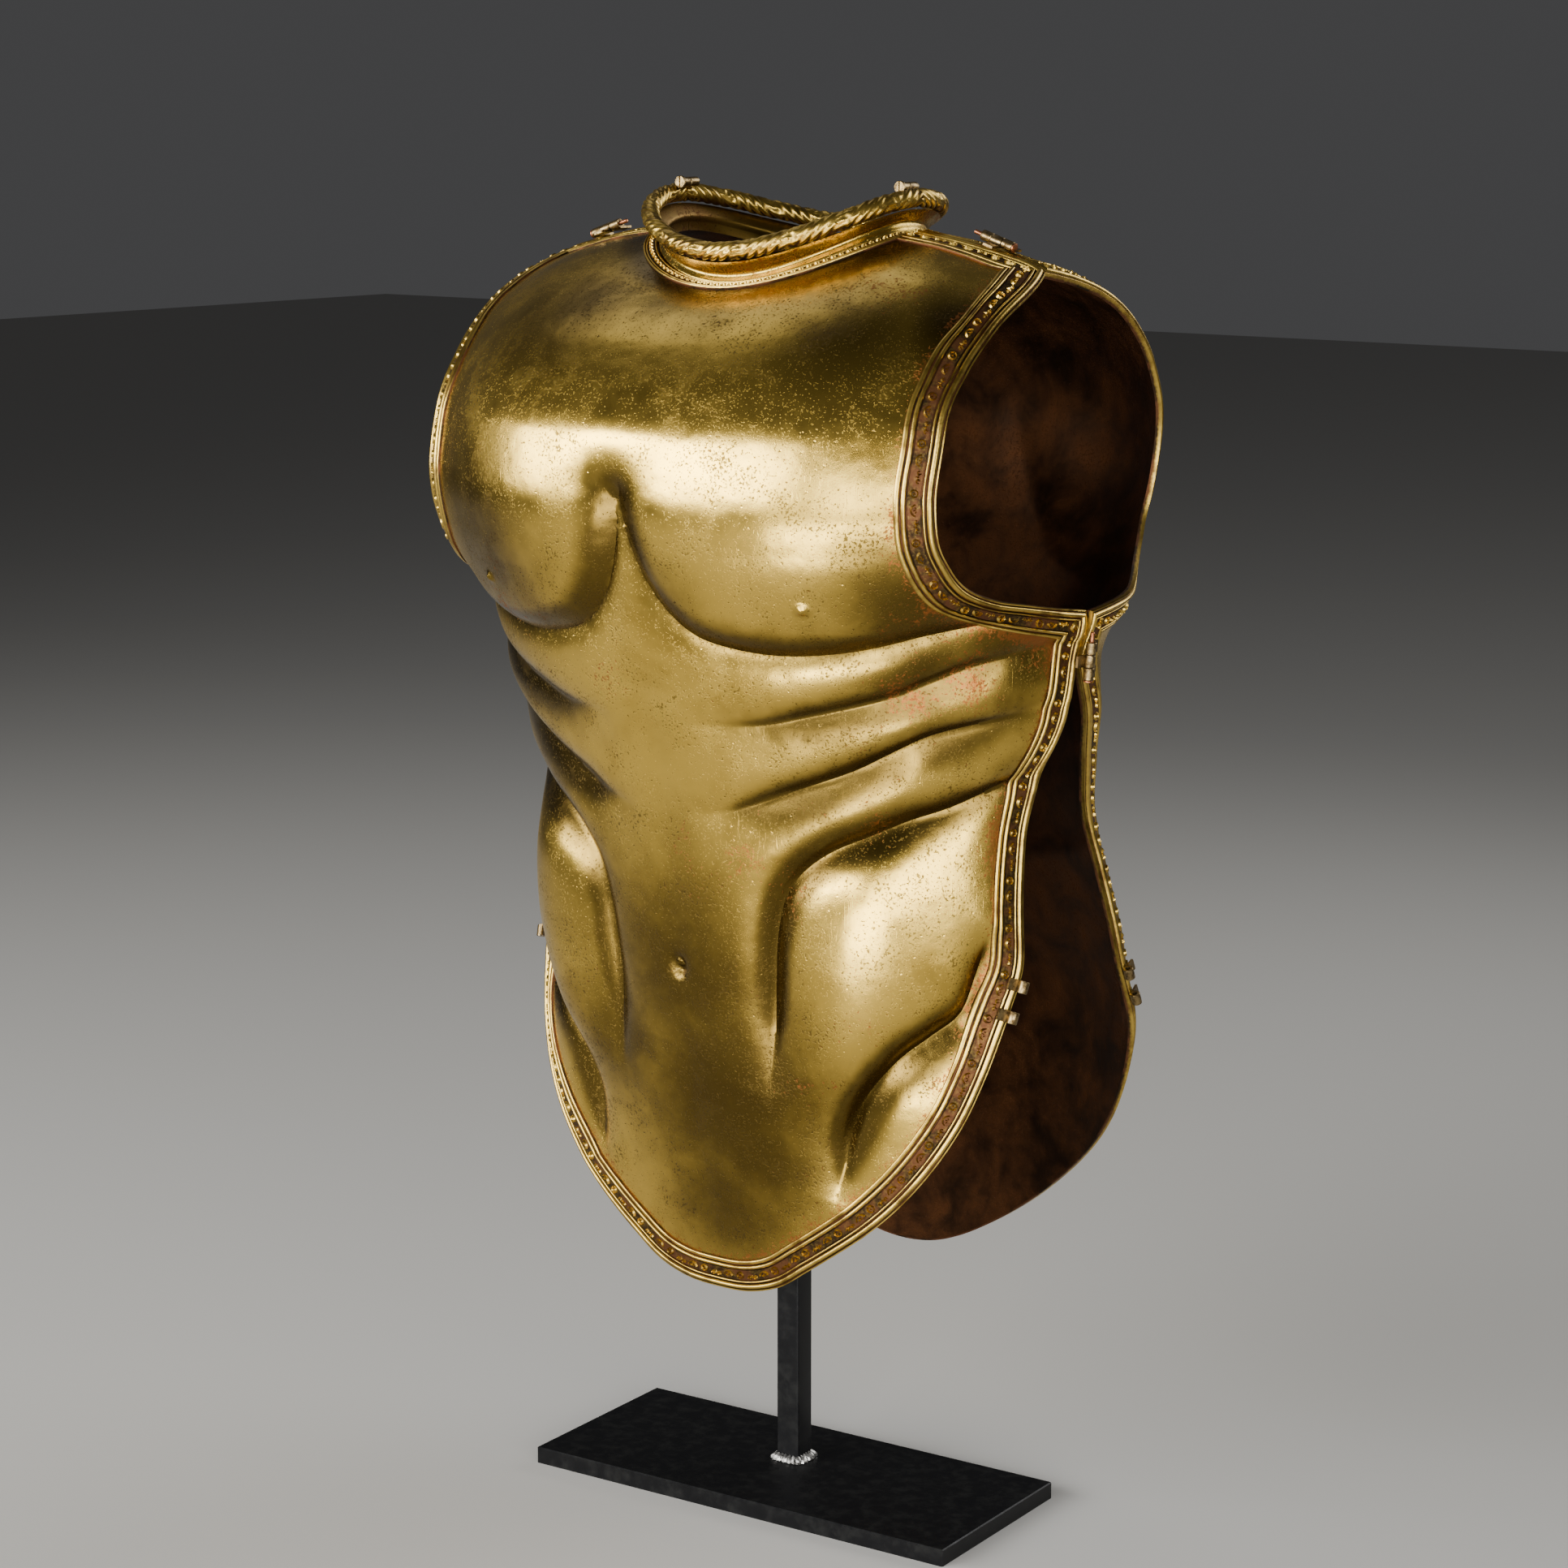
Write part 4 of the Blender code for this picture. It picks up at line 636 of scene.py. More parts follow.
def insideOutline(outline, places, margin):
    odd = np.zeros(len(places), bool)
    x, y = places[:, 0], places[:, 1]
    for a, b in zip(outline, np.roll(outline, -1, axis=0)):
        if a[1] != b[1]:
            crosses = (a[1] > y) != (b[1] > y)
            odd ^= crosses & (x < a[0] + (b[0] - a[0]) * (y - a[1]) / (b[1] - a[1]))
    closed = np.concatenate((outline, outline[:1]))
    near = np.flatnonzero(odd)
    keep = distanceTo(closed, places[near]) > margin
    return near[keep]


def latticePlaces(side, facet):
    # even places in staggered rows over the whole pattern
    levels = [0.0]
    while levels[-1] < 1.0:
        _, upward, _ = skinFrame(side, 30.0, levels[-1])
        levels.append(levels[-1] + facet * 0.866 / np.linalg.norm(upward))
    places = []
    for row, up in enumerate(levels):
        arc = skin(side, np.linspace(0, 90, 61), np.full(61, up))
        length = lengthAlong(arc)
        half = max(4, round(length[-1] / facet))
        want = (np.arange(half + 1) + 0.5 * (row % 2)) * length[-1] / half
        angle = np.interp(want, length, np.linspace(0, 90, 61))
        angle = angle[want <= length[-1]]
        both = np.concatenate((-angle[::-1], angle if row % 2 else angle[1:]))
        places.append(np.stack((both, np.full_like(both, up)), axis=1))
    return np.concatenate(places)


def creaseRows(side, offsets, spacing):
    # rows of places along each crease and a little to both sides of it, so that it stays crisp
    lines = [patternCurve([p[:2] for p in line])[0] for *_, line in creases[side]]
    if side < 0:
        lines.append(patternCurve(pectoral["edge"])[0])
    rows = []
    for line in lines:
        length = lengthAlong(line)
        want = np.arange(spacing / 2, length[-1], spacing)
        middle = np.stack([np.interp(want, length, line[:, k]) for k in (0, 1)], axis=1)
        run = unit(np.gradient(middle, axis=0))
        for offset in offsets:
            rows.append(middle + np.stack((-run[:, 1], run[:, 0]), axis=1) * offset)
    reach = knobGrid["reach"]
    grid = np.arange(-reach, reach + 1e-9, reach / knobGrid["steps"])
    for name, size, width, line in swellings[side]:
        if width < knobGrid["widest"]:
            place = patternLine(line)[0]
            rows.append(np.array([place + (x, y) for x in grid for y in grid if x * x + y * y < reach ** 2]))
    flat = np.concatenate(rows)
    girth = (torso["halfWidth"] + torso["chestDepth"]) / 2
    angle, up = np.degrees(flat[:, 0] / girth), flat[:, 1] / torso["pattern"]
    both = np.concatenate((np.stack((angle, up), axis=1), np.stack((-angle, up), axis=1)))
    return lines, both


def thinned(places, flat, gap):
    # drops places that fall nearer than the gap to one already kept
    kept, taken = [], {}
    for i, p in enumerate(flat):
        cell = (int(p[0] // gap), int(p[1] // gap))
        around = [taken.get((cell[0] + a, cell[1] + b)) for a in (-1, 0, 1) for b in (-1, 0, 1)]
        if all(q is None or np.hypot(*(flat[q] - p)) > gap for q in around):
            taken[cell] = i
            kept.append(i)
    return places[kept]


def makePlate(side):
    plan = plates[side]
    parts = [fineRun(side, runs[side][key], border["fine"])[0]
             for key in ("neck", "shoulderRight", "armholeRight", "hem", "armholeLeft", "shoulderLeft")]
    bandEnd = runs[side]["neck"][1]
    parts[0] = np.concatenate((bandEnd[:1], parts[0], bandEnd[-1:]))
    outline = np.concatenate([part[:-1] for part in parts])
    outlineFlat = flatPlace(outline[:, 0], outline[:, 1])
    lattice = latticePlaces(side, plan["facet"])
    keep = insideOutline(outlineFlat, flatPlace(lattice[:, 0], lattice[:, 1]), plan["facet"] * 0.45)
    lattice = lattice[keep]
    lines, rows = creaseRows(side, plan["rows"], plan["rowFacet"])
    rows = rows[insideOutline(outlineFlat, flatPlace(rows[:, 0], rows[:, 1]), plan["rowFacet"] * 0.7)]
    rows = thinned(rows, flatPlace(rows[:, 0], rows[:, 1]), plan["rowFacet"] * 0.45)
    latticeFlat = flatPlace(np.abs(lattice[:, 0]), lattice[:, 1])
    clear = np.min([distanceTo(line, latticeFlat) for line in lines], axis=0)
    lattice = lattice[clear > max(plan["rows"]) + plan["facet"] * 0.45]
    places = np.concatenate((outline, rows, lattice))
    pattern = [Vector(p) for p in flatPlace(places[:, 0], places[:, 1])]
    count = len(outline)
    loop = [(i, (i + 1) % count) for i in range(count)]
    points, _, triangles, origins, _, _ = geometry.delaunay_2d_cdt(pattern, loop, [], 1, 1e-9)
    order = [o[0] for o in origins]
    triangles = np.array([[order[k] for k in t] for t in triangles])
    total = len(places)
    outer = sheetPoints(side, places[:, 0], places[:, 1])
    inner = sheetPoints(side, places[:, 0], places[:, 1], -torso["sheet"])
    rim = []
    for i in range(count):
        j = (i + 1) % count
        rim += [(i, j, total + j), (i, total + j, total + i)]
    faces = np.concatenate((triangles, triangles[:, ::-1] + total, np.array(rim)))
    borderLine = np.concatenate([runs[side][key][1] for key in
                                 ("shoulderRight", "armholeRight", "hem", "armholeLeft", "shoulderLeft")])
    flat = flatPlace(places[:, 0], places[:, 1])
    away = distanceTo(flatPlace(borderLine[:, 0], borderLine[:, 1]), flat)
    edgeTone = np.exp(-(away / sheetTones["edgeReach"]) ** 2)
    # painted shade: the sheet is darkened with the depth of its furrows and creases, and in a ring along the
    # neck band under the collar
    furrow = relief(side, places[:, 0], places[:, 1])[1]
    stainAndShade = plan["furrowShade"] * smoothstep(sheetTones["furrowShadeRise"] * furrow - sheetTones["furrowShadeFrom"])
    neck = flatPlace(*runs[side]["neck"][1].T)
    ring = distanceTo(neck, flat) / plan["neckShade"]
    stainAndShade = np.maximum(stainAndShade, np.exp(-ring ** 2))
    bare = np.zeros(total)
    # listed darker patches, partly tarnish and partly painted shade, then spots of bared copper red
    if side < 0:
        for tone, spots in ((stainAndShade, tarnishAndShadePatches), (bare, baredSpots)):
            for angle, up, size, strength in spots:
                away = np.linalg.norm(flat - flatPlace(angle, up), axis=1)
                np.maximum(tone, strength * np.exp(-(away / size) ** 2), out=tone)
    both = {"edgeTone": np.tile(edgeTone, 2), "stainAndShade": np.tile(stainAndShade, 2), "bare": np.tile(bare, 2),
            "inside": np.repeat((0.0, 1.0), total)}
    addPiece(plan["name"], np.concatenate((outer, inner)), faces, "sheet", [plan["node"]],
             attributes=both)
    print(plan["name"], len(faces), "triangles")


for side in (-1, 1):
    makePlate(side)

# cross-section of an edge strip from its inner edge out, in millimetres: kind, start, end, height
stripSection = {"shape": (("bead", 0.0, 2.3, 1.5), ("flat", 2.3, 2.9, 0.5), ("bead", 2.9, 5.0, 2.1),
                          ("flat", 5.0, 5.5, 0.4), ("flat", 5.6, 11.0, 1.2), ("flat", 11.2, 11.7, 0.6),
                          ("bead", 11.7, 12.9, 1.8), ("flat", 12.9, 13.5, 0.4),
                          ("bead", 13.5, 16.3, 2.8), ("flat", 16.4, 16.8, 0.8), ("flat", 16.9, 17.5, 1.6)),
                "width": 17.5, "sink": 0.5, "skirt": 1.7, "beadSteps": 7, "groundTone": 0.8}
mouldingSection = {"shape": (("bead", 0.0, 1.1, 1.5), ("flat", 1.1, 1.4, 0.5), ("bead", 1.4, 2.4, 1.4),
                             ("flat", 2.4, 2.7, 0.5), ("flat", 2.8, 6.2, 1.0), ("flat", 6.2, 6.5, 0.4),
                             ("bead", 6.5, 7.5, 1.3)),
                   "width": 7.5, "sink": 0.5, "skirt": 0.5, "beadSteps": 5, "groundTone": 0.8}


def sectionPoints(plan):
    # (share of the width, height in metres, how deep in a groove) across a moulding, and its underside
    points = [(0.0, -plan["sink"] * mm, 1.0)]
    for kind, start, end, height in plan["shape"]:
        if kind == "bead":
            for k in range(plan["beadSteps"] + 1):
                a = math.pi * k / plan["beadSteps"]
                lift = 0.35 + 0.65 * math.sin(a)
                points.append((((start + end) / 2 - (end - start) / 2 * math.cos(a)) / plan["width"],
                               height * lift * mm, 1 - math.sin(a)))
        else:
            deep = 1.0 if height < 0.9 else plan["groundTone"] if end - start > 3 else 0.3
            points.append((start / plan["width"], height * mm, deep))
            points.append((end / plan["width"], height * mm, deep))
    points.append((1.006, -plan["skirt"] * mm, 1.0))
    points.append((0.96, -plan["skirt"] * mm, 1.0))
    points.append((0.94, -plan["sink"] * mm, 1.0))
    return points


def ladderPoints(side, edge, inner, share, lift):
    place = inner + (edge - inner) * share
    return sheetPoints(side, place[:, 0], place[:, 1], lift)


def sweepFaces(stations, around, first=0):
    # faces between rings of points that follow each other
    i = np.arange(stations - 1)[:, None] * around + first
    j = np.arange(around)[None, :]
    beside = (j + 1) % around
    quads = np.stack((i + j, i + beside, i + around + beside, i + around + j), axis=-1)
    return [tuple(q) for q in quads.reshape(-1, 4)]


def capFaces(points, first, around):
    ring = [Vector(p) for p in points[first:first + around]]
    return [tuple(first + k for k in t) for t in geometry.tessellate_polygon([ring])]


def sweepRings(rings):
    # points and faces of a solid through rings of points, closed at both ends
    stations, around = rings.shape[:2]
    points = rings.reshape(-1, 3)
    faces = sweepFaces(stations, around)
    faces += capFaces(points, 0, around) + capFaces(points, (stations - 1) * around, around)
    return points, faces


def makeMoulding(name, side, key, plan, replaced):
    edge, inner, _ = fineRun(side, runs[side][key], border["fine"])
    shape = sectionPoints(plan)
    rings = np.stack([ladderPoints(side, edge, inner, share, lift) for share, lift, _ in shape], axis=1)
    points, faces = sweepRings(rings)
    grooveDirtAndShade = np.tile([deep for _, _, deep in shape], len(rings))
    return addPiece(name, points, faces, "cast", replaced, sharp=50.0,
                    attributes={"grooveDirtAndShade": grooveDirtAndShade})


stripNodes = {"hem": "hem_strip", "armholeLeft": "armhole_strip_left",
              "armholeRight": "armhole_strip_right", "shoulderLeft": "shoulder_strip_left",
              "shoulderRight": "shoulder_strip_right"}
for side, front in ((-1, "breast"), (1, "back")):
    for key, node in stripNodes.items():
        makeMoulding(f"{front}{key[0].upper()}{key[1:]}Strip", side, key, stripSection,
                     [f"{front}_{node}"])
    place = "front" if side < 0 else "back"
    makeMoulding(f"{place}NeckMoulding", side, "neck", mouldingSection, [f"neck_moulding_{place}"])
print("edge strips and neck mouldings made")

# motifs of the relief bands, in millimetres
motifSizes = {"ring": 1.85, "wire": 1.15, "lift": 1.15, "sink": 0.4, "petal": 2.5, "petalWidth": 1.5}


def petal(x, y, turn, length, width, lift):
    # a pointed leaf with a ridge, growing from (x, y) in the direction turn, in degrees
    c, s = math.cos(math.radians(turn)), math.sin(math.radians(turn))
    flatOutline = ((0, 0), (length * 0.45, width / 2), (length, 0), (length * 0.45, -width / 2))
    points = [(x + u * c - v * s, y + u * s + v * c, 0.0) for u, v in flatOutline]
    points = [(*p[:2], -motifSizes["sink"]) for p in points] + \
             [(x + length * 0.5 * c, y + length * 0.5 * s, lift)]
    return points, [(3, 2, 1, 0), (0, 1, 4), (1, 2, 4), (2, 3, 4), (3, 0, 4)]


def scroll(x, y, radius, start, end, shrink, steps):
    # a round wire bent along an arc that may curl inward, in degrees
    points, faces = [], []
    for k in range(steps + 1):
        a = math.radians(start + (end - start) * k / steps)
        r = radius * (1 - shrink * k / steps)
        half = motifSizes["wire"] / 2
        for reach, z in ((r - half, -motifSizes["sink"]), (r, motifSizes["lift"] * (1 - 0.2 * k / steps)),
                         (r + half, -motifSizes["sink"])):
            points.append((x + reach * math.cos(a), y + reach * math.sin(a), z))
    for k in range(steps):
        for j in range(3):
            m = (j + 1) % 3
            faces.append((3 * k + j, 3 * k + m, 3 * k + 3 + m, 3 * k + 3 + j))
    return points, faces + [(2, 1, 0), (3 * steps, 3 * steps + 1, 3 * steps + 2)]


def motif(name, parts):
    # a small relief of several closed shapes, in metres, out of sight until it is repeated
    points, faces = [], []
    for partPoints, partFaces in parts:
        faces += [tuple(len(points) + k for k in f) for f in partFaces]
        points += [tuple(v * mm for v in p) for p in partPoints]
    return bpy.data.objects.new(name, makeMesh(name, points, faces, sharp=30.0))


m = motifSizes
bandMotifs = (
    ("a_roundel", [scroll(0, 0, m["ring"], 0, 352, 0, 12), petal(-0.9, 0, 0, 1.8, 1.3, m["lift"])]),
    ("b_lotus", [petal(0, -2.2, 90, 3.0, m["petalWidth"], m["lift"]),
                 petal(-0.3, -2.0, 128, 2.9, m["petalWidth"], m["lift"]),
                 petal(0.3, -2.0, 52, 2.9, m["petalWidth"], m["lift"]),
                 scroll(-2.2, -1.2, 0.95, -60, 200, 0.3, 5), scroll(2.2, -1.2, 0.95, 240, -20, 0.3, 5)]),
    ("c_palmette", [scroll(0, -1.6, 3.0, 15, 165, 0, 8)]
     + [petal(0, -1.7, 90 + turn, m["petal"], 1.1, m["lift"]) for turn in (-55, 0, 55)]))
neckMotifs = (("leaf", [petal(-1.7, -1.2, 38, 2.8, 1.5, 0.9), petal(-1.3, 1.3, -32, 2.5, 1.3, 0.8),
                        scroll(1.1, 0.2, 0.7, 0, 300, 0.3, 5)]),)


def motifCollection(name, motifs):
    group = bpy.data.collections.new(name)
    for label, parts in motifs:
        group.objects.link(motif(label, parts))
    return group


def makeRepeatTree():
    # repeats the motifs of a collection along lines, every spacing, standing on the lines' own normals
    tree = bpy.data.node_groups.new("motifs along a moulding", "GeometryNodeTree")
    face = tree.interface
    face.new_socket("Geometry", in_out="INPUT", socket_type="NodeSocketGeometry")
    for label, kind in (("Spacing", "Float"), ("Size", "Float"), ("Wander", "Float"), ("Seed", "Int"),
                        ("Motifs", "Collection"), ("Finish", "Material")):
        face.new_socket(label, in_out="INPUT", socket_type=f"NodeSocket{kind}")
    face.new_socket("Geometry", in_out="OUTPUT", socket_type="NodeSocketGeometry")
    given = addNode(tree, "NodeGroupInput").outputs
    line = addNode(tree, "GeometryNodeMeshToCurve", {"Mesh": given["Geometry"]})
    even = addNode(tree, "GeometryNodeResampleCurve", {"Curve": line, "Length": given["Spacing"]},
                   mode="LENGTH")
    along = addNode(tree, "GeometryNodeInputTangent")
    upright = addNode(tree, "GeometryNodeInputNamedAttribute", {"Name": "upright"},
                      data_type="FLOAT_VECTOR")
    turn = addNode(tree, "FunctionNodeAxesToRotation", {"Primary Axis": along, "Secondary Axis": upright},
                   primary_axis="X", secondary_axis="Z")
    order = addNode(tree, "GeometryNodeInputIndex")
    kind = addNode(tree, "ShaderNodeMath", {0: order, 1: float(len(bandMotifs))},
                   operation="MODULO")
    group = addNode(tree, "GeometryNodeCollectionInfo", {"Collection": given["Motifs"],
                                                         "Separate Children": True, "Reset Children": True})
    least = addNode(tree, "ShaderNodeMath", {0: given["Size"], 1: given["Wander"]}, operation="SUBTRACT")
    most = addNode(tree, "ShaderNodeMath", {0: given["Size"], 1: given["Wander"]}, operation="ADD")
    size = addNode(tree, "FunctionNodeRandomValue", {"Min": least, "Max": most, "Seed": given["Seed"]},
                   data_type="FLOAT")
    placed = addNode(tree, "GeometryNodeInstanceOnPoints",
                     {"Points": even, "Instance": group, "Pick Instance": True, "Instance Index": kind,
                      "Rotation": turn, "Scale": size})
    real = addNode(tree, "GeometryNodeRealizeInstances", {"Geometry": placed})
    done = addNode(tree, "GeometryNodeSetMaterial", {"Geometry": real, "Material": given["Finish"]})
    addNode(tree, "NodeGroupOutput", {"Geometry": done})
    return tree


repeatTree = makeRepeatTree()
socketKeys = {item.name: item.identifier for item in repeatTree.interface.items_tree
              if item.in_out == "INPUT"}


def repeatMotifs(name, lines, group, spacing, seed):
    # bakes the motifs along the lines (places, normals) into one plain mesh
    guide = bpy.data.meshes.new(name + "Guide")
    points = np.concatenate([places for places, _ in lines])
    upright = np.concatenate([normals for _, normals in lines])
    first, pairs = 0, []
    for places, _ in lines:
        pairs += [(first + k, first + k + 1) for k in range(len(places) - 1)]
        first += len(places)
    guide.from_pydata([tuple(p) for p in points], pairs, [])
    layer = guide.attributes.new("upright", "FLOAT_VECTOR", "POINT")
    layer.data.foreach_set("vector", upright.astype(np.float32).ravel())
    holder = bpy.data.objects.new(name + "Guide", guide)
    scene.collection.objects.link(holder)
    modifier = holder.modifiers.new("motifs", "NODES")
    modifier.node_group = repeatTree
    for label, value in (("Spacing", spacing), ("Size", 1.0), ("Wander", 0.06), ("Seed", seed),
                         ("Motifs", group), ("Finish", finishes["cast"])):
        modifier[socketKeys[label]] = value
    seen = holder.evaluated_get(bpy.context.evaluated_depsgraph_get())
    mesh = bpy.data.meshes.new_from_object(seen)
    holder.modifiers.remove(modifier)
    bpy.data.objects.remove(holder)
    mesh.name = name
    mesh.shade_smooth()
    mesh.set_sharp_from_angle(angle=math.radians(35.0))
    piece = bpy.data.objects.new(name, mesh)
    scene.collection.objects.link(piece)
    settle(piece, None)
    print(name, len(mesh.polygons), "faces")
    return piece


bandLine = {"strip": (8.3 / 17.5, 1.2 * mm, 8.0 * mm), "neck": (4.5 / 7.5, 1.0 * mm, 4.2 * mm)}
bandGroup = motifCollection("bandMotifs", bandMotifs)
neckGroup = motifCollection("neckMotifs", neckMotifs)


def bandPath(side, key, kind):
    share, lift, _ = bandLine[kind]
    edge, inner, _ = fineRun(side, runs[side][key], border["fine"])
    place = inner + (edge - inner) * share
    return (sheetPoints(side, place[:, 0], place[:, 1], lift),
            skinFrame(side, place[:, 0], place[:, 1])[2])


for side, front in ((-1, "breast"), (1, "back")):
    bands = [bandPath(side, key, "strip") for key in stripNodes]
    repeatMotifs(f"{front}StripOrnament", bands, bandGroup, bandLine["strip"][2], 3)
    place = "front" if side < 0 else "back"
    repeatMotifs(f"{place}NeckOrnament", [bandPath(side, "neck", "neck")], neckGroup, bandLine["neck"][2], 5)
print("relief bands ornamented")

# standing collar and its rolled rim, with the same sizes as the solids; rope sizes in metres
collar = {"rise": 0.0168, "lean": 0.0034, "wall": 0.0014, "foot": 0.003, "inset": 0.0010, "gap": 0.0003,
          "profile": ((0.00, 0.12), (-0.30, 0.40), (0.05, 0.66), (0.55, 0.88), (1.00, 1.00)),
          "stations": 110, "profileSteps": 20}
rope = {"radius": 0.0050, "stations": 300, "around": 44, "period": 26 * mm, "flutes": 3,
        "flute": 5.0 * mm, "depth": 1.1 * mm, "leaf": 3.6 * mm, "lead": 30 * mm}


def neckFrame(side, angle):
    # the sheet's edge round the neck, the level way out from it, and the way along it
    angle = np.asarray(angle, float)
    ones = np.ones_like(angle)
    along = skin(side, angle + 0.5, ones) - skin(side, angle - 0.5, ones)
    out = unit(np.stack((along[:, 1], -along[:, 0], 0 * angle), axis=1)) * -side
    return skin(side, angle, ones), out, unit(along)


def evenNeck(side, count):
    angle = np.linspace(90, -90, 721)
    foot = neckFrame(side, angle)[0]
    length = lengthAlong(foot)
    want = np.linspace(0, length[-1], count)
    return np.interp(want, length, angle), want


def makeCollar(side, place):
    angle, _ = evenNeck(side, collar["stations"])
    foot, out, _ = neckFrame(side, angle)
    lip = collar["lean"] + collar["wall"] / 2
    top = collar["rise"] - rope["radius"] - 2 * collar["gap"]
    face = [(-collar["inset"] + (lip + collar["inset"]) * a, top * b) for a, b in collar["profile"]]
    face = catmull(face, np.linspace(0, len(face) - 1, collar["profileSteps"]))
    face = np.concatenate(([(-collar["inset"], -collar["foot"])], face))
    wall = np.concatenate((face, face[::-1] - (collar["wall"], 0)))
    rings = np.stack([foot + out * o + np.array((0, 0, r)) for o, r in wall], axis=1)
    points, faces = sweepRings(rings)
    count = len(face)
    edge = np.concatenate((np.linspace(0.1, 0.5, count), np.zeros(count)))
    inside = np.concatenate((np.zeros(count), np.full(count, 0.75)))
    tones = {"edgeTone": np.tile(edge, len(rings)), "inside": np.tile(inside, len(rings)),
             "stainAndShade": np.full(len(points), 0.45), "bare": np.full(len(points), 0.35)}
    addPiece(f"{place}Collar", points, faces, "sheet", [f"collar_{place}"], attributes=tones)


def ropeRise(run, turn):
    # relief of the twisted rim: three round flutes, then a leafy panel, winding round it
    phase = np.mod(run + turn / math.tau * rope["lead"], rope["period"])
    fluted = rope["flutes"] * rope["flute"]
    flute = np.abs(np.sin(math.pi * phase / rope["flute"])) ** 0.6
    panel = np.clip((phase - fluted) / (rope["period"] - fluted), 0, 1)
    spread = np.abs(panel - 0.5) * 2
    around = turn * rope["radius"] / rope["leaf"]
    veins = np.sin(math.tau * (around + spread * 0.9)) * np.sin(math.pi * np.minimum(spread * 1.6, 1))
    leafy = (1 - spread ** 6) * (0.62 + 0.38 * veins)
    return np.where(phase < fluted, flute, leafy) * rope["depth"]


def makeRope(side, place):
    angle, run = evenNeck(side, rope["stations"])
    foot, out, along = neckFrame(side, angle)
    lift = unit(np.cross(along, out))
    lift = lift * np.where(lift[:, 2:] > 0, 1, -1)
    middle = foot + out * collar["lean"] + np.array((0, 0, collar["rise"]))
    turn = math.tau * np.arange(rope["around"]) / rope["around"]
    rise = ropeRise(run[:, None], turn[None, :])
    radius = rope["radius"] - rope["depth"] + rise
    rings = middle[:, None] + (out[:, None] * np.cos(turn)[None, :, None]
                               + lift[:, None] * np.sin(turn)[None, :, None]) * radius[..., None]
    points, faces = sweepRings(rings)
    grooveDirtAndShade = 1 - np.clip(rise / rope["depth"], 0, 1)
    # painted shade: the lower side of the rope is darkened as well as its grooves
    undersideShade = np.clip(-np.sin(turn) - 0.45, 0, 1)[None, :] * 0.9
    addPiece(f"{place}RopeRim", points, faces, "cast", [f"rope_rim_{place}"], sharp=60.0,
             attributes={"grooveDirtAndShade": np.clip(grooveDirtAndShade * 0.9 + undersideShade, 0, 1).ravel()})


for side, place in ((-1, "front"), (1, "back")):
    makeCollar(side, place)
    makeRope(side, place)
print("collar and rope rims made")


def turnedRings(start, axis, steps, sides):
    # rings of a turned piece; steps are (distance along the axis, radius)
    axis = unit(np.asarray(axis, float))
    first = unit(np.cross(axis, (0.3, 0.9, 0.2)))
    second = np.cross(axis, first)
    turn = math.tau * np.arange(sides) / sides
    circle = np.cos(turn)[:, None] * first + np.sin(turn)[:, None] * second
    return np.stack([start + axis * reach + circle * radius for reach, radius in steps])


def join(shapes):
    # several closed shapes as one list of points and faces
    points, faces, first = [], [], 0
    for shapePoints, shapeFaces in shapes:
        points.append(np.asarray(shapePoints, float))
        faces += [tuple(first + k for k in f) for f in shapeFaces]
        first += len(shapePoints)
    return np.concatenate(points), faces


def spanMiddle(points):
    return (np.min(points, axis=0) + np.max(points, axis=0)) / 2


# barrels over the shoulders, with a slotted disc at the front end; millimetres
clasp = {"barrel": 2.6, "length": 14.0, "disc": 3.3, "discThick": 1.6, "slot": 0.9, "slotDeep": 0.7,
         "sides": 40}


def makeClasp(hand):
    node = f"collar_clasp_{hand}"
    low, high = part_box(node)
    middle = spanMiddle(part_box(node))
    start = np.array((middle[0], low[1], middle[2]))
    c = clasp
    steps = [(c["slotDeep"], 0.6), (c["slotDeep"], c["disc"] - 0.25), (c["slotDeep"] + 0.25, c["disc"]),
             (c["discThick"] - 0.2, c["disc"]), (c["discThick"], c["disc"] - 0.2),
             (c["discThick"], c["barrel"] - 0.3), (c["discThick"] + 0.4, c["barrel"]), (6.2, c["barrel"]),
             (6.5, c["barrel"] - 0.35), (6.9, c["barrel"] - 0.35), (7.2, c["barrel"]),
             (c["length"] - 0.5, c["barrel"]), (c["length"], c["barrel"] - 0.5), (c["length"], 0.5)]
    shapes = [sweepRings(turnedRings(start, (0, 1, 0), [(a * mm, r * mm) for a, r in steps], c["sides"]))]
    for way in (-1, 1):  # the two halves of the disc beside its slot
        opening = math.asin(c["slot"] / 2 / c["disc"])
        arc = [(math.pi / 2 - opening) * (2 * k / 14 - 1) for k in range(15)]
        rim = [np.array((way * c["disc"] * math.cos(a), 0, c["disc"] * math.sin(a))) for a in arc]
        outline = [np.array((way * c["slot"] / 2, 0, p[2])) if abs(p[0]) < c["slot"] / 2 else p for p in rim]
        rings = [np.array([start + (p * k + np.array((0, y, 0))) * mm for p in outline])
                 for k, y in ((0.93, 0.0), (1.0, 0.22), (1.0, c["slotDeep"] + 0.1))]
        shapes.append(sweepRings(np.stack(rings)))
    points, faces = join(shapes)
    addPiece(f"collarClasp{hand.capitalize()}", points, faces, "worn", [node], sharp=35.0)


# rolled hinge knuckles and pins, with the same sizes as the solids; metres
hinge = {"radius": 0.0027, "length": 0.0062, "leaf": 0.0085, "thick": 0.0012, "bore": 0.0014,
         "pin": 0.0011, "headRadius": 0.0024, "head": 0.0012, "tail": 0.005, "gap": 0.0003,
         "shoulderUp": 0.938, "sideUp": 0.596, "hipUp": 0.292, "hipPitch": 0.0077, "bevel": 0.00025,
         "arcSteps": 22, "boreSteps": 18}


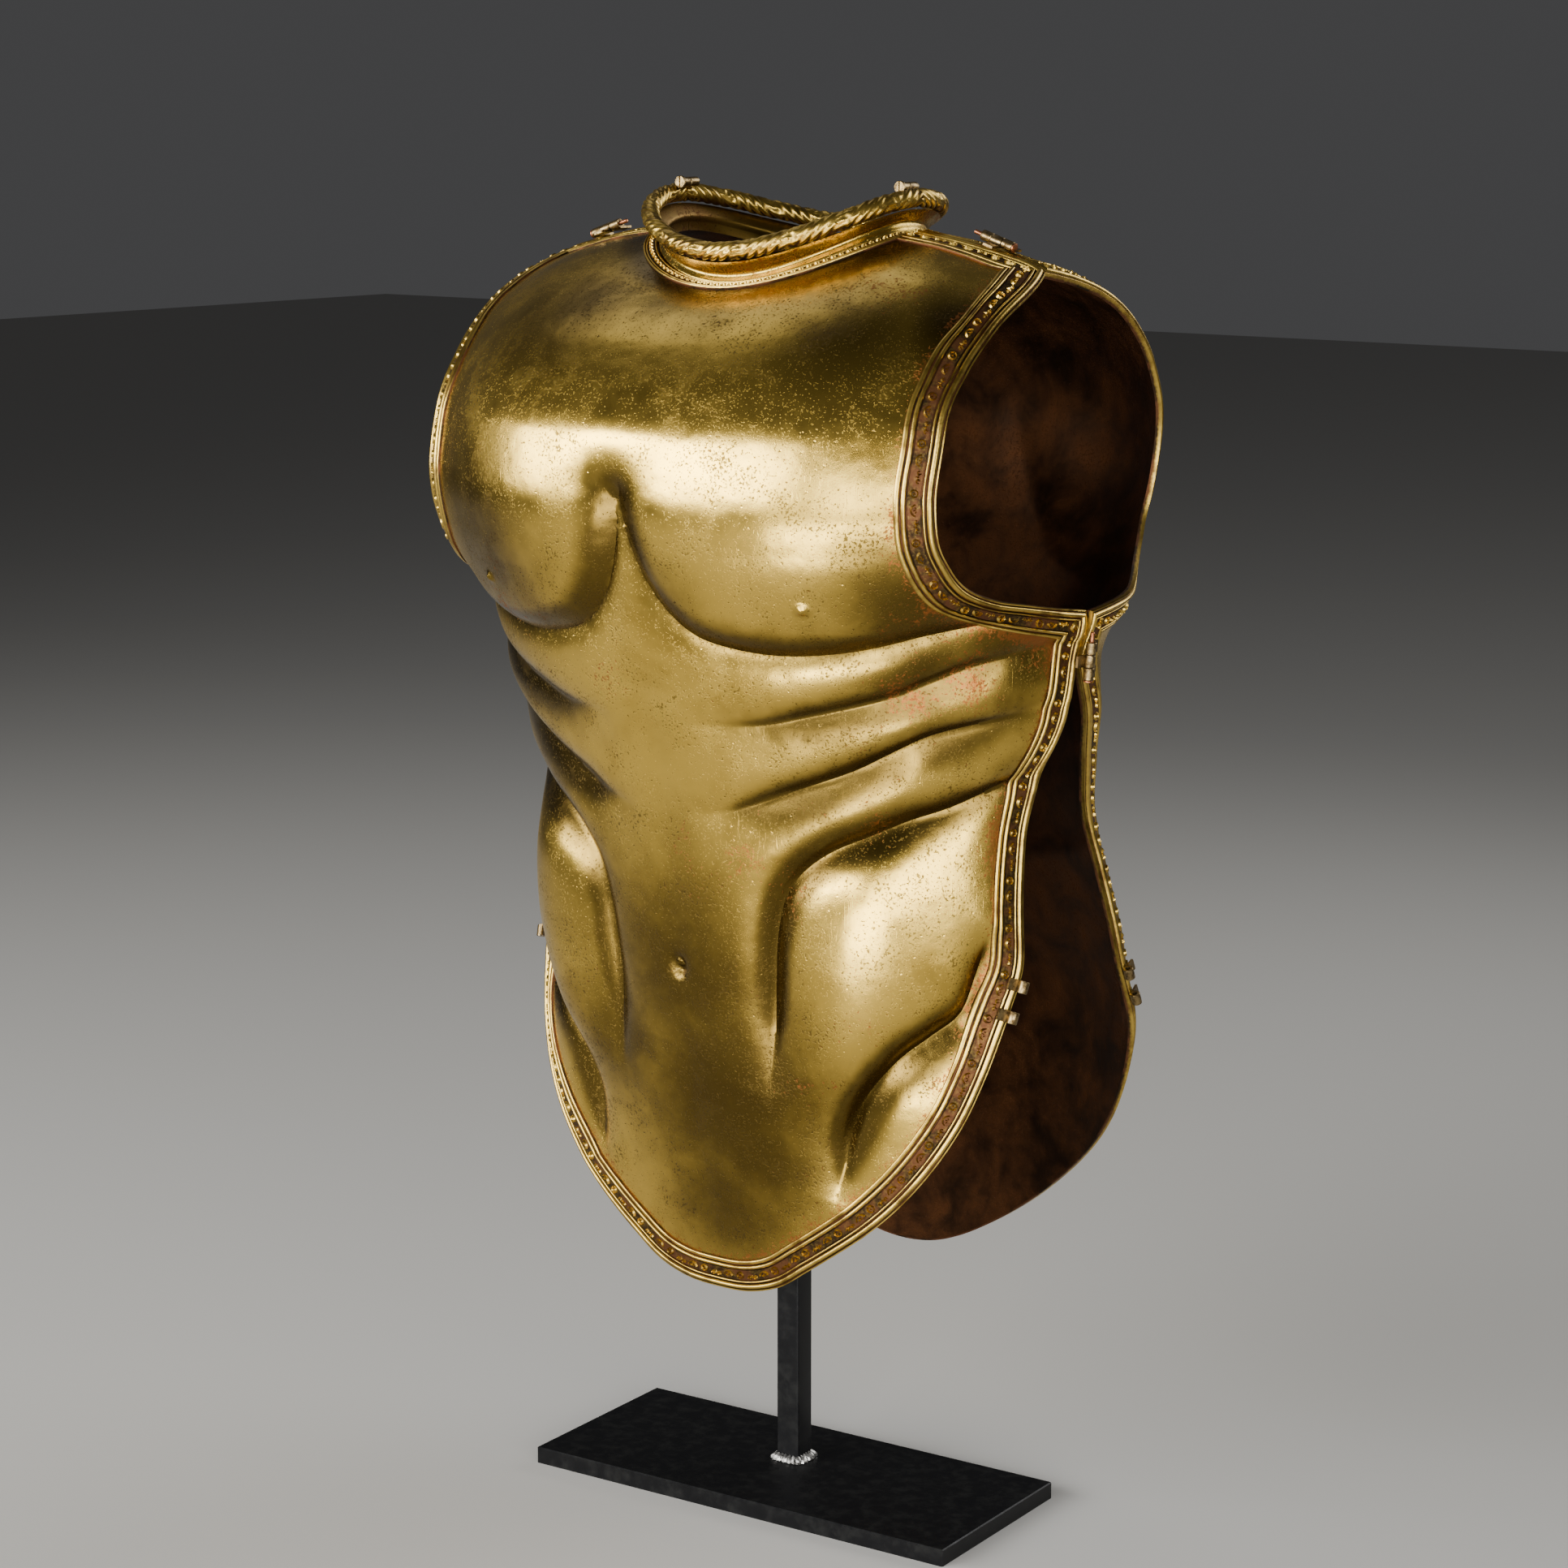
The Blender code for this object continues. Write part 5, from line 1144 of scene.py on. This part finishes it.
def knuckleShape(frame):
    # a rolled barrel with its leaf, its rims eased by the bevel
    origin, inwardWay, normal, axis = frame
    h = hinge
    low = h["radius"] - h["thick"]
    start = math.atan2(-low, math.sqrt(h["radius"] ** 2 - low ** 2))  # where the barrel leaves its leaf
    arc = np.linspace(start, 1.5 * math.pi, h["arcSteps"])
    leaf = np.linspace(0.55, 1.0, 4)
    outline = [(h["leaf"] * k, -h["radius"]) for k in leaf]
    outline += [(h["leaf"] * k, h["thick"] - h["radius"]) for k in leaf[::-1]]
    outline = np.array(outline + [(h["radius"] * math.cos(a), h["radius"] * math.sin(a)) for a in arc])
    turn = math.tau * np.arange(h["boreSteps"]) / h["boreSteps"]
    hole = np.stack((np.cos(turn), np.sin(turn)), axis=1) * h["bore"]
    middle = np.array((h["leaf"] / 3, -h["radius"] / 2))
    rings = []
    for reach, ease in ((-0.5, 1), (-0.5, 0), (0.5, 0), (0.5, 1)):
        along = reach * h["length"] - (math.copysign(h["bevel"], reach) if not ease else 0)
        shrunk = outline + unit(middle - outline) * h["bevel"] * ease
        rings.append(origin + shrunk[:, :1] * inwardWay + shrunk[:, 1:] * normal + axis * along)
    bore = [origin + hole[:, :1] * inwardWay + hole[:, 1:] * normal + axis * reach * h["length"]
            for reach in (-0.5, 0.5)]
    count, small = len(outline), len(hole)
    points = np.concatenate(rings + bore)
    faces = sweepFaces(4, count) + sweepFaces(2, small, 4 * count)
    ends = geometry.tessellate_polygon([[Vector((*p, 0)) for p in outline], [Vector((*p, 0)) for p in hole]])
    for ring, holeRing in ((0, 4 * count), (3 * count, 4 * count + small)):
        faces += [tuple(ring + k if k < count else holeRing + k - count for k in t) for t in ends]
    return points, faces


def placeHinge(name, node, points, faces, finish, slotName):
    # seated where its solid is
    points = points + spanMiddle(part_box(node)) - spanMiddle(points)
    addPiece(name, points, faces, finish, [node], sharp=40.0)


def makeHinge(place, up):
    h = hinge
    upward = skinFrame(-1, np.array([90.0]), np.array([up]))[1][0]
    axis = unit(upward * (1, 0, 1))
    normal = np.array((axis[2], 0, -axis[0]))
    middle = skin(-1, 90, up) * (1, 0, 1)
    pitch = h["length"] + h["gap"]
    for hand, flip in (("left", (1, 1, 1)), ("right", (-1, 1, 1))):
        for label, side, step in (("front", -1, 0), ("back_upper", 1, 1), ("back_lower", 1, -1)):
            barrel = middle + axis * pitch * step
            frame = [v * np.array(flip) for v in (barrel, (0, side, 0), normal, axis)]
            words = "".join(w.capitalize() for w in label.split("_"))
            placeHinge(f"{place}Hinge{words}{hand.capitalize()}", f"{place}_hinge_{label}_{hand}",
                       *knuckleShape(frame), "worn", "bronze")
        reach = h["head"] + 3 * pitch + h["tail"]
        steps = [(0, h["headRadius"] * 0.75), (h["head"] * 0.25, h["headRadius"]),
                 (h["head"] * 0.8, h["headRadius"]), (h["head"], h["headRadius"] * 0.9),
                 (h["head"], h["pin"]), (reach - 0.4 * mm, h["pin"]), (reach, h["pin"] * 0.6)]
        points, faces = sweepRings(turnedRings(np.zeros(3), axis * flip, steps, 20))
        placeHinge(f"{place}HingePin{hand.capitalize()}", f"{place}_hinge_pin_{hand}", points, faces,
                   "pin", "copper")


def makeHipKnuckles():
    for name, side, shifts in (("front", -1, (1.5, -0.5)), ("back", 1, (0.5, -1.5))):
        line = edges[side]["side"]
        for number, shift in zip(("upper", "lower"), shifts):
            up = hinge["hipUp"] + shift * hinge["hipPitch"] / torso["pattern"]
            k = next(i for i in range(len(line) - 1) if line[i + 1][1] >= up)
            share = (up - line[k][1]) / (line[k + 1][1] - line[k][1])
            angle = line[k][0] + (line[k + 1][0] - line[k][0]) * share
            axis = unit(skin(side, *line[k + 1]) - skin(side, *line[k]))
            normal = skinFrame(side, np.array([angle]), np.array([up]))[2][0]
            normal = unit(normal - axis * (normal @ axis))
            loose = (np.zeros(3), np.cross(normal, axis) * -side, normal, axis)
            for hand, flip in (("left", (1, 1, 1)), ("right", (-1, 1, 1))):
                placeHinge(f"hipKnuckle{name.capitalize()}{number.capitalize()}{hand.capitalize()}",
                           f"hip_knuckle_{name}_{number}_{hand}",
                           *knuckleShape([v * np.array(flip) for v in loose]), "worn", "bronze")


for hand in ("left", "right"):
    makeClasp(hand)
makeHinge("shoulder", hinge["shoulderUp"])
makeHinge("side", hinge["sideUp"])
makeHipKnuckles()
print("clasps, hinges and hip knuckles made")

# stand: the plate and the hidden bar keep their solids, the post gets eased edges, the weld its lumps
stand = {"edge": 1.1 * mm, "edgeSteps": 5, "turn": math.radians(4.0), "weldSteps": 26,
         "weldGrow": 0.4 * mm, "ripples": ((0.22, 1.35, 0), (0.12, 2.9, 1)),
         # across the weld: way out with its ripples, height, as shares of the leg
         "weldShape": ((0.75, 0.0), (0.68, 0.35), (0.42, 0.66))}


def turnStand(points):
    c, s = math.cos(stand["turn"]), math.sin(stand["turn"])
    return points @ np.array(((c, s, 0), (-s, c, 0), (0, 0, 1)))


def roundedSquare(half, radius):
    # a square with quarter rounds at its corners
    points = []
    for corner in range(4):
        for k in range(stand["edgeSteps"] + 1):
            a = math.pi / 2 * (corner + k / stand["edgeSteps"])
            x = math.copysign(half - radius, math.cos(math.pi / 2 * (corner + 0.5)))
            y = math.copysign(half - radius, math.sin(math.pi / 2 * (corner + 0.5)))
            points.append((x + radius * math.cos(a), y + radius * math.sin(a)))
    return np.array(points)


def makeStand():
    for node in ("base_plate", "support_bar"):
        thing = nodes[node]
        thing.data.materials.clear()
        thing.data.materials.append(finishes["black"])
    low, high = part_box("post")
    across = (high[0] - low[0]) / (math.cos(stand["turn"]) + math.sin(stand["turn"])) / 2
    outline = roundedSquare(across, stand["edge"])
    rings = np.stack([np.column_stack((outline, np.full(len(outline), z))) for z in (low[2], high[2])])
    points, faces = sweepRings(turnStand(rings.reshape(-1, 3)).reshape(rings.shape))
    addPiece("squarePost", points, faces, "black", ["post"], sharp=30.0)
    lowWeld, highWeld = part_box("weld_bead")
    leg = highWeld[2] - lowWeld[2]
    rings = []
    path = roundedSquare(across + collar["gap"], stand["edge"] + stand["weldGrow"])
    closed = np.vstack((path, path[:1]))
    length = lengthAlong(closed)
    want = np.linspace(0, length[-1], 4 * stand["weldSteps"] + 1)[:-1]
    middle = np.stack([np.interp(want, length, closed[:, k]) for k in (0, 1)], axis=1)
    out = unit(middle)
    for k, (place, way) in enumerate(zip(middle, out)):
        ripple = 1 + sum(size * math.sin(k * rate + start) for size, rate, start in stand["ripples"])
        ring = [(0.0, 0.0)] + [(o * ripple, z) for o, z in stand["weldShape"]]
        ring.append((0.0, 0.95 * min(ripple, 1.0)))
        rings.append([(*(place + way * o * leg), lowWeld[2] + z * leg) for o, z in ring])
    rings = turnStand(np.array(rings).reshape(-1, 3))
    around, count = len(ring), len(middle)
    faces = []
    for i in range(count):
        for j in range(around):
            i2, j2 = (i + 1) % count, (j + 1) % around
            faces.append((i * around + j, i * around + j2, i2 * around + j2, i2 * around + j))
    addPiece("weldBead", rings, faces, "weld", ["weld_bead"], sharp=50.0)


makeStand()
print("stand finished")


# camera where the photograph was taken from, worked out in the cuirass's own frame
view = {"place": (1.1767, -1.5263, 0.7581), "turn": 37.8, "down": 10.88, "lens": 84.56, "sensor": 36.0}
cameraData = bpy.data.cameras.new("photoCamera")
cameraData.lens = view["lens"]
cameraData.sensor_width = view["sensor"]
camera = bpy.data.objects.new("photoCamera", cameraData)
camera.location = view["place"]
camera.rotation_euler = (math.radians(90 - view["down"]), 0, math.radians(view["turn"]))
scene.collection.objects.link(camera)
scene.camera = camera

studio = {"floor": "#b3b1ac", "floorReach": 8.0, "air": "#9c9c9e", "airStrength": 0.18,
          "spread": 110}  # degrees; a cloth grid keeps the softboxes' light off the floor
floorMesh = bpy.data.meshes.new("paleFloor")
floorMesh.from_pydata([(x * studio["floorReach"], y * studio["floorReach"], 0)
                       for x, y in ((-1, -1), (1, -1), (1, 1), (-1, 1))], [], [(0, 1, 2, 3)])
floor = bpy.data.objects.new("paleFloor", floorMesh)
floorMesh.materials.append(newMaterial("matt pale floor", studio["floor"], 0.9, 0.0)[0])
scene.collection.objects.link(floor)

world = bpy.data.worlds.new("studio")
world.use_nodes = True
world.node_tree.nodes["Background"].inputs["Color"].default_value = linear(studio["air"])
world.node_tree.nodes["Background"].inputs["Strength"].default_value = studio["airStrength"]
scene.world = world

# plain softboxes: place, what it faces, size, power in watts
softboxes = {"key": ((-0.98, -2.10, 1.01), (0.0, -0.10, 0.54), (3.4, 0.86), 60),
             "side": ((1.99, -1.77, 0.57), (0.0, -0.10, 0.50), (3.0, 1.1), 38),
             "low": ((0.43, -0.90, 0.14), (0.10, -0.07, 0.36), (0.58, 0.24), 1.9),
             "rim": ((0.9, 1.9, 1.5), (0.0, 0.0, 0.5), (1.6, 1.2), 11),
             "top": ((-1.25, 0.48, 2.47), (0.0, -0.10, 0.50), (1.4, 1.0), 1.2)}
for name, (place, target, (wide, high), power) in softboxes.items():
    lightData = bpy.data.lights.new(name, "AREA")
    lightData.shape = "RECTANGLE"
    lightData.size, lightData.size_y, lightData.energy = wide, high, power
    lightData.spread = math.radians(studio["spread"])
    light = bpy.data.objects.new(name, lightData)
    light.location = place
    light.visible_camera = False  # the low one would show from behind
    light.rotation_euler = (Vector(target) - Vector(place)).to_track_quat("-Z", "Y").to_euler()
    scene.collection.objects.link(light)
print("camera, floor and lights placed")
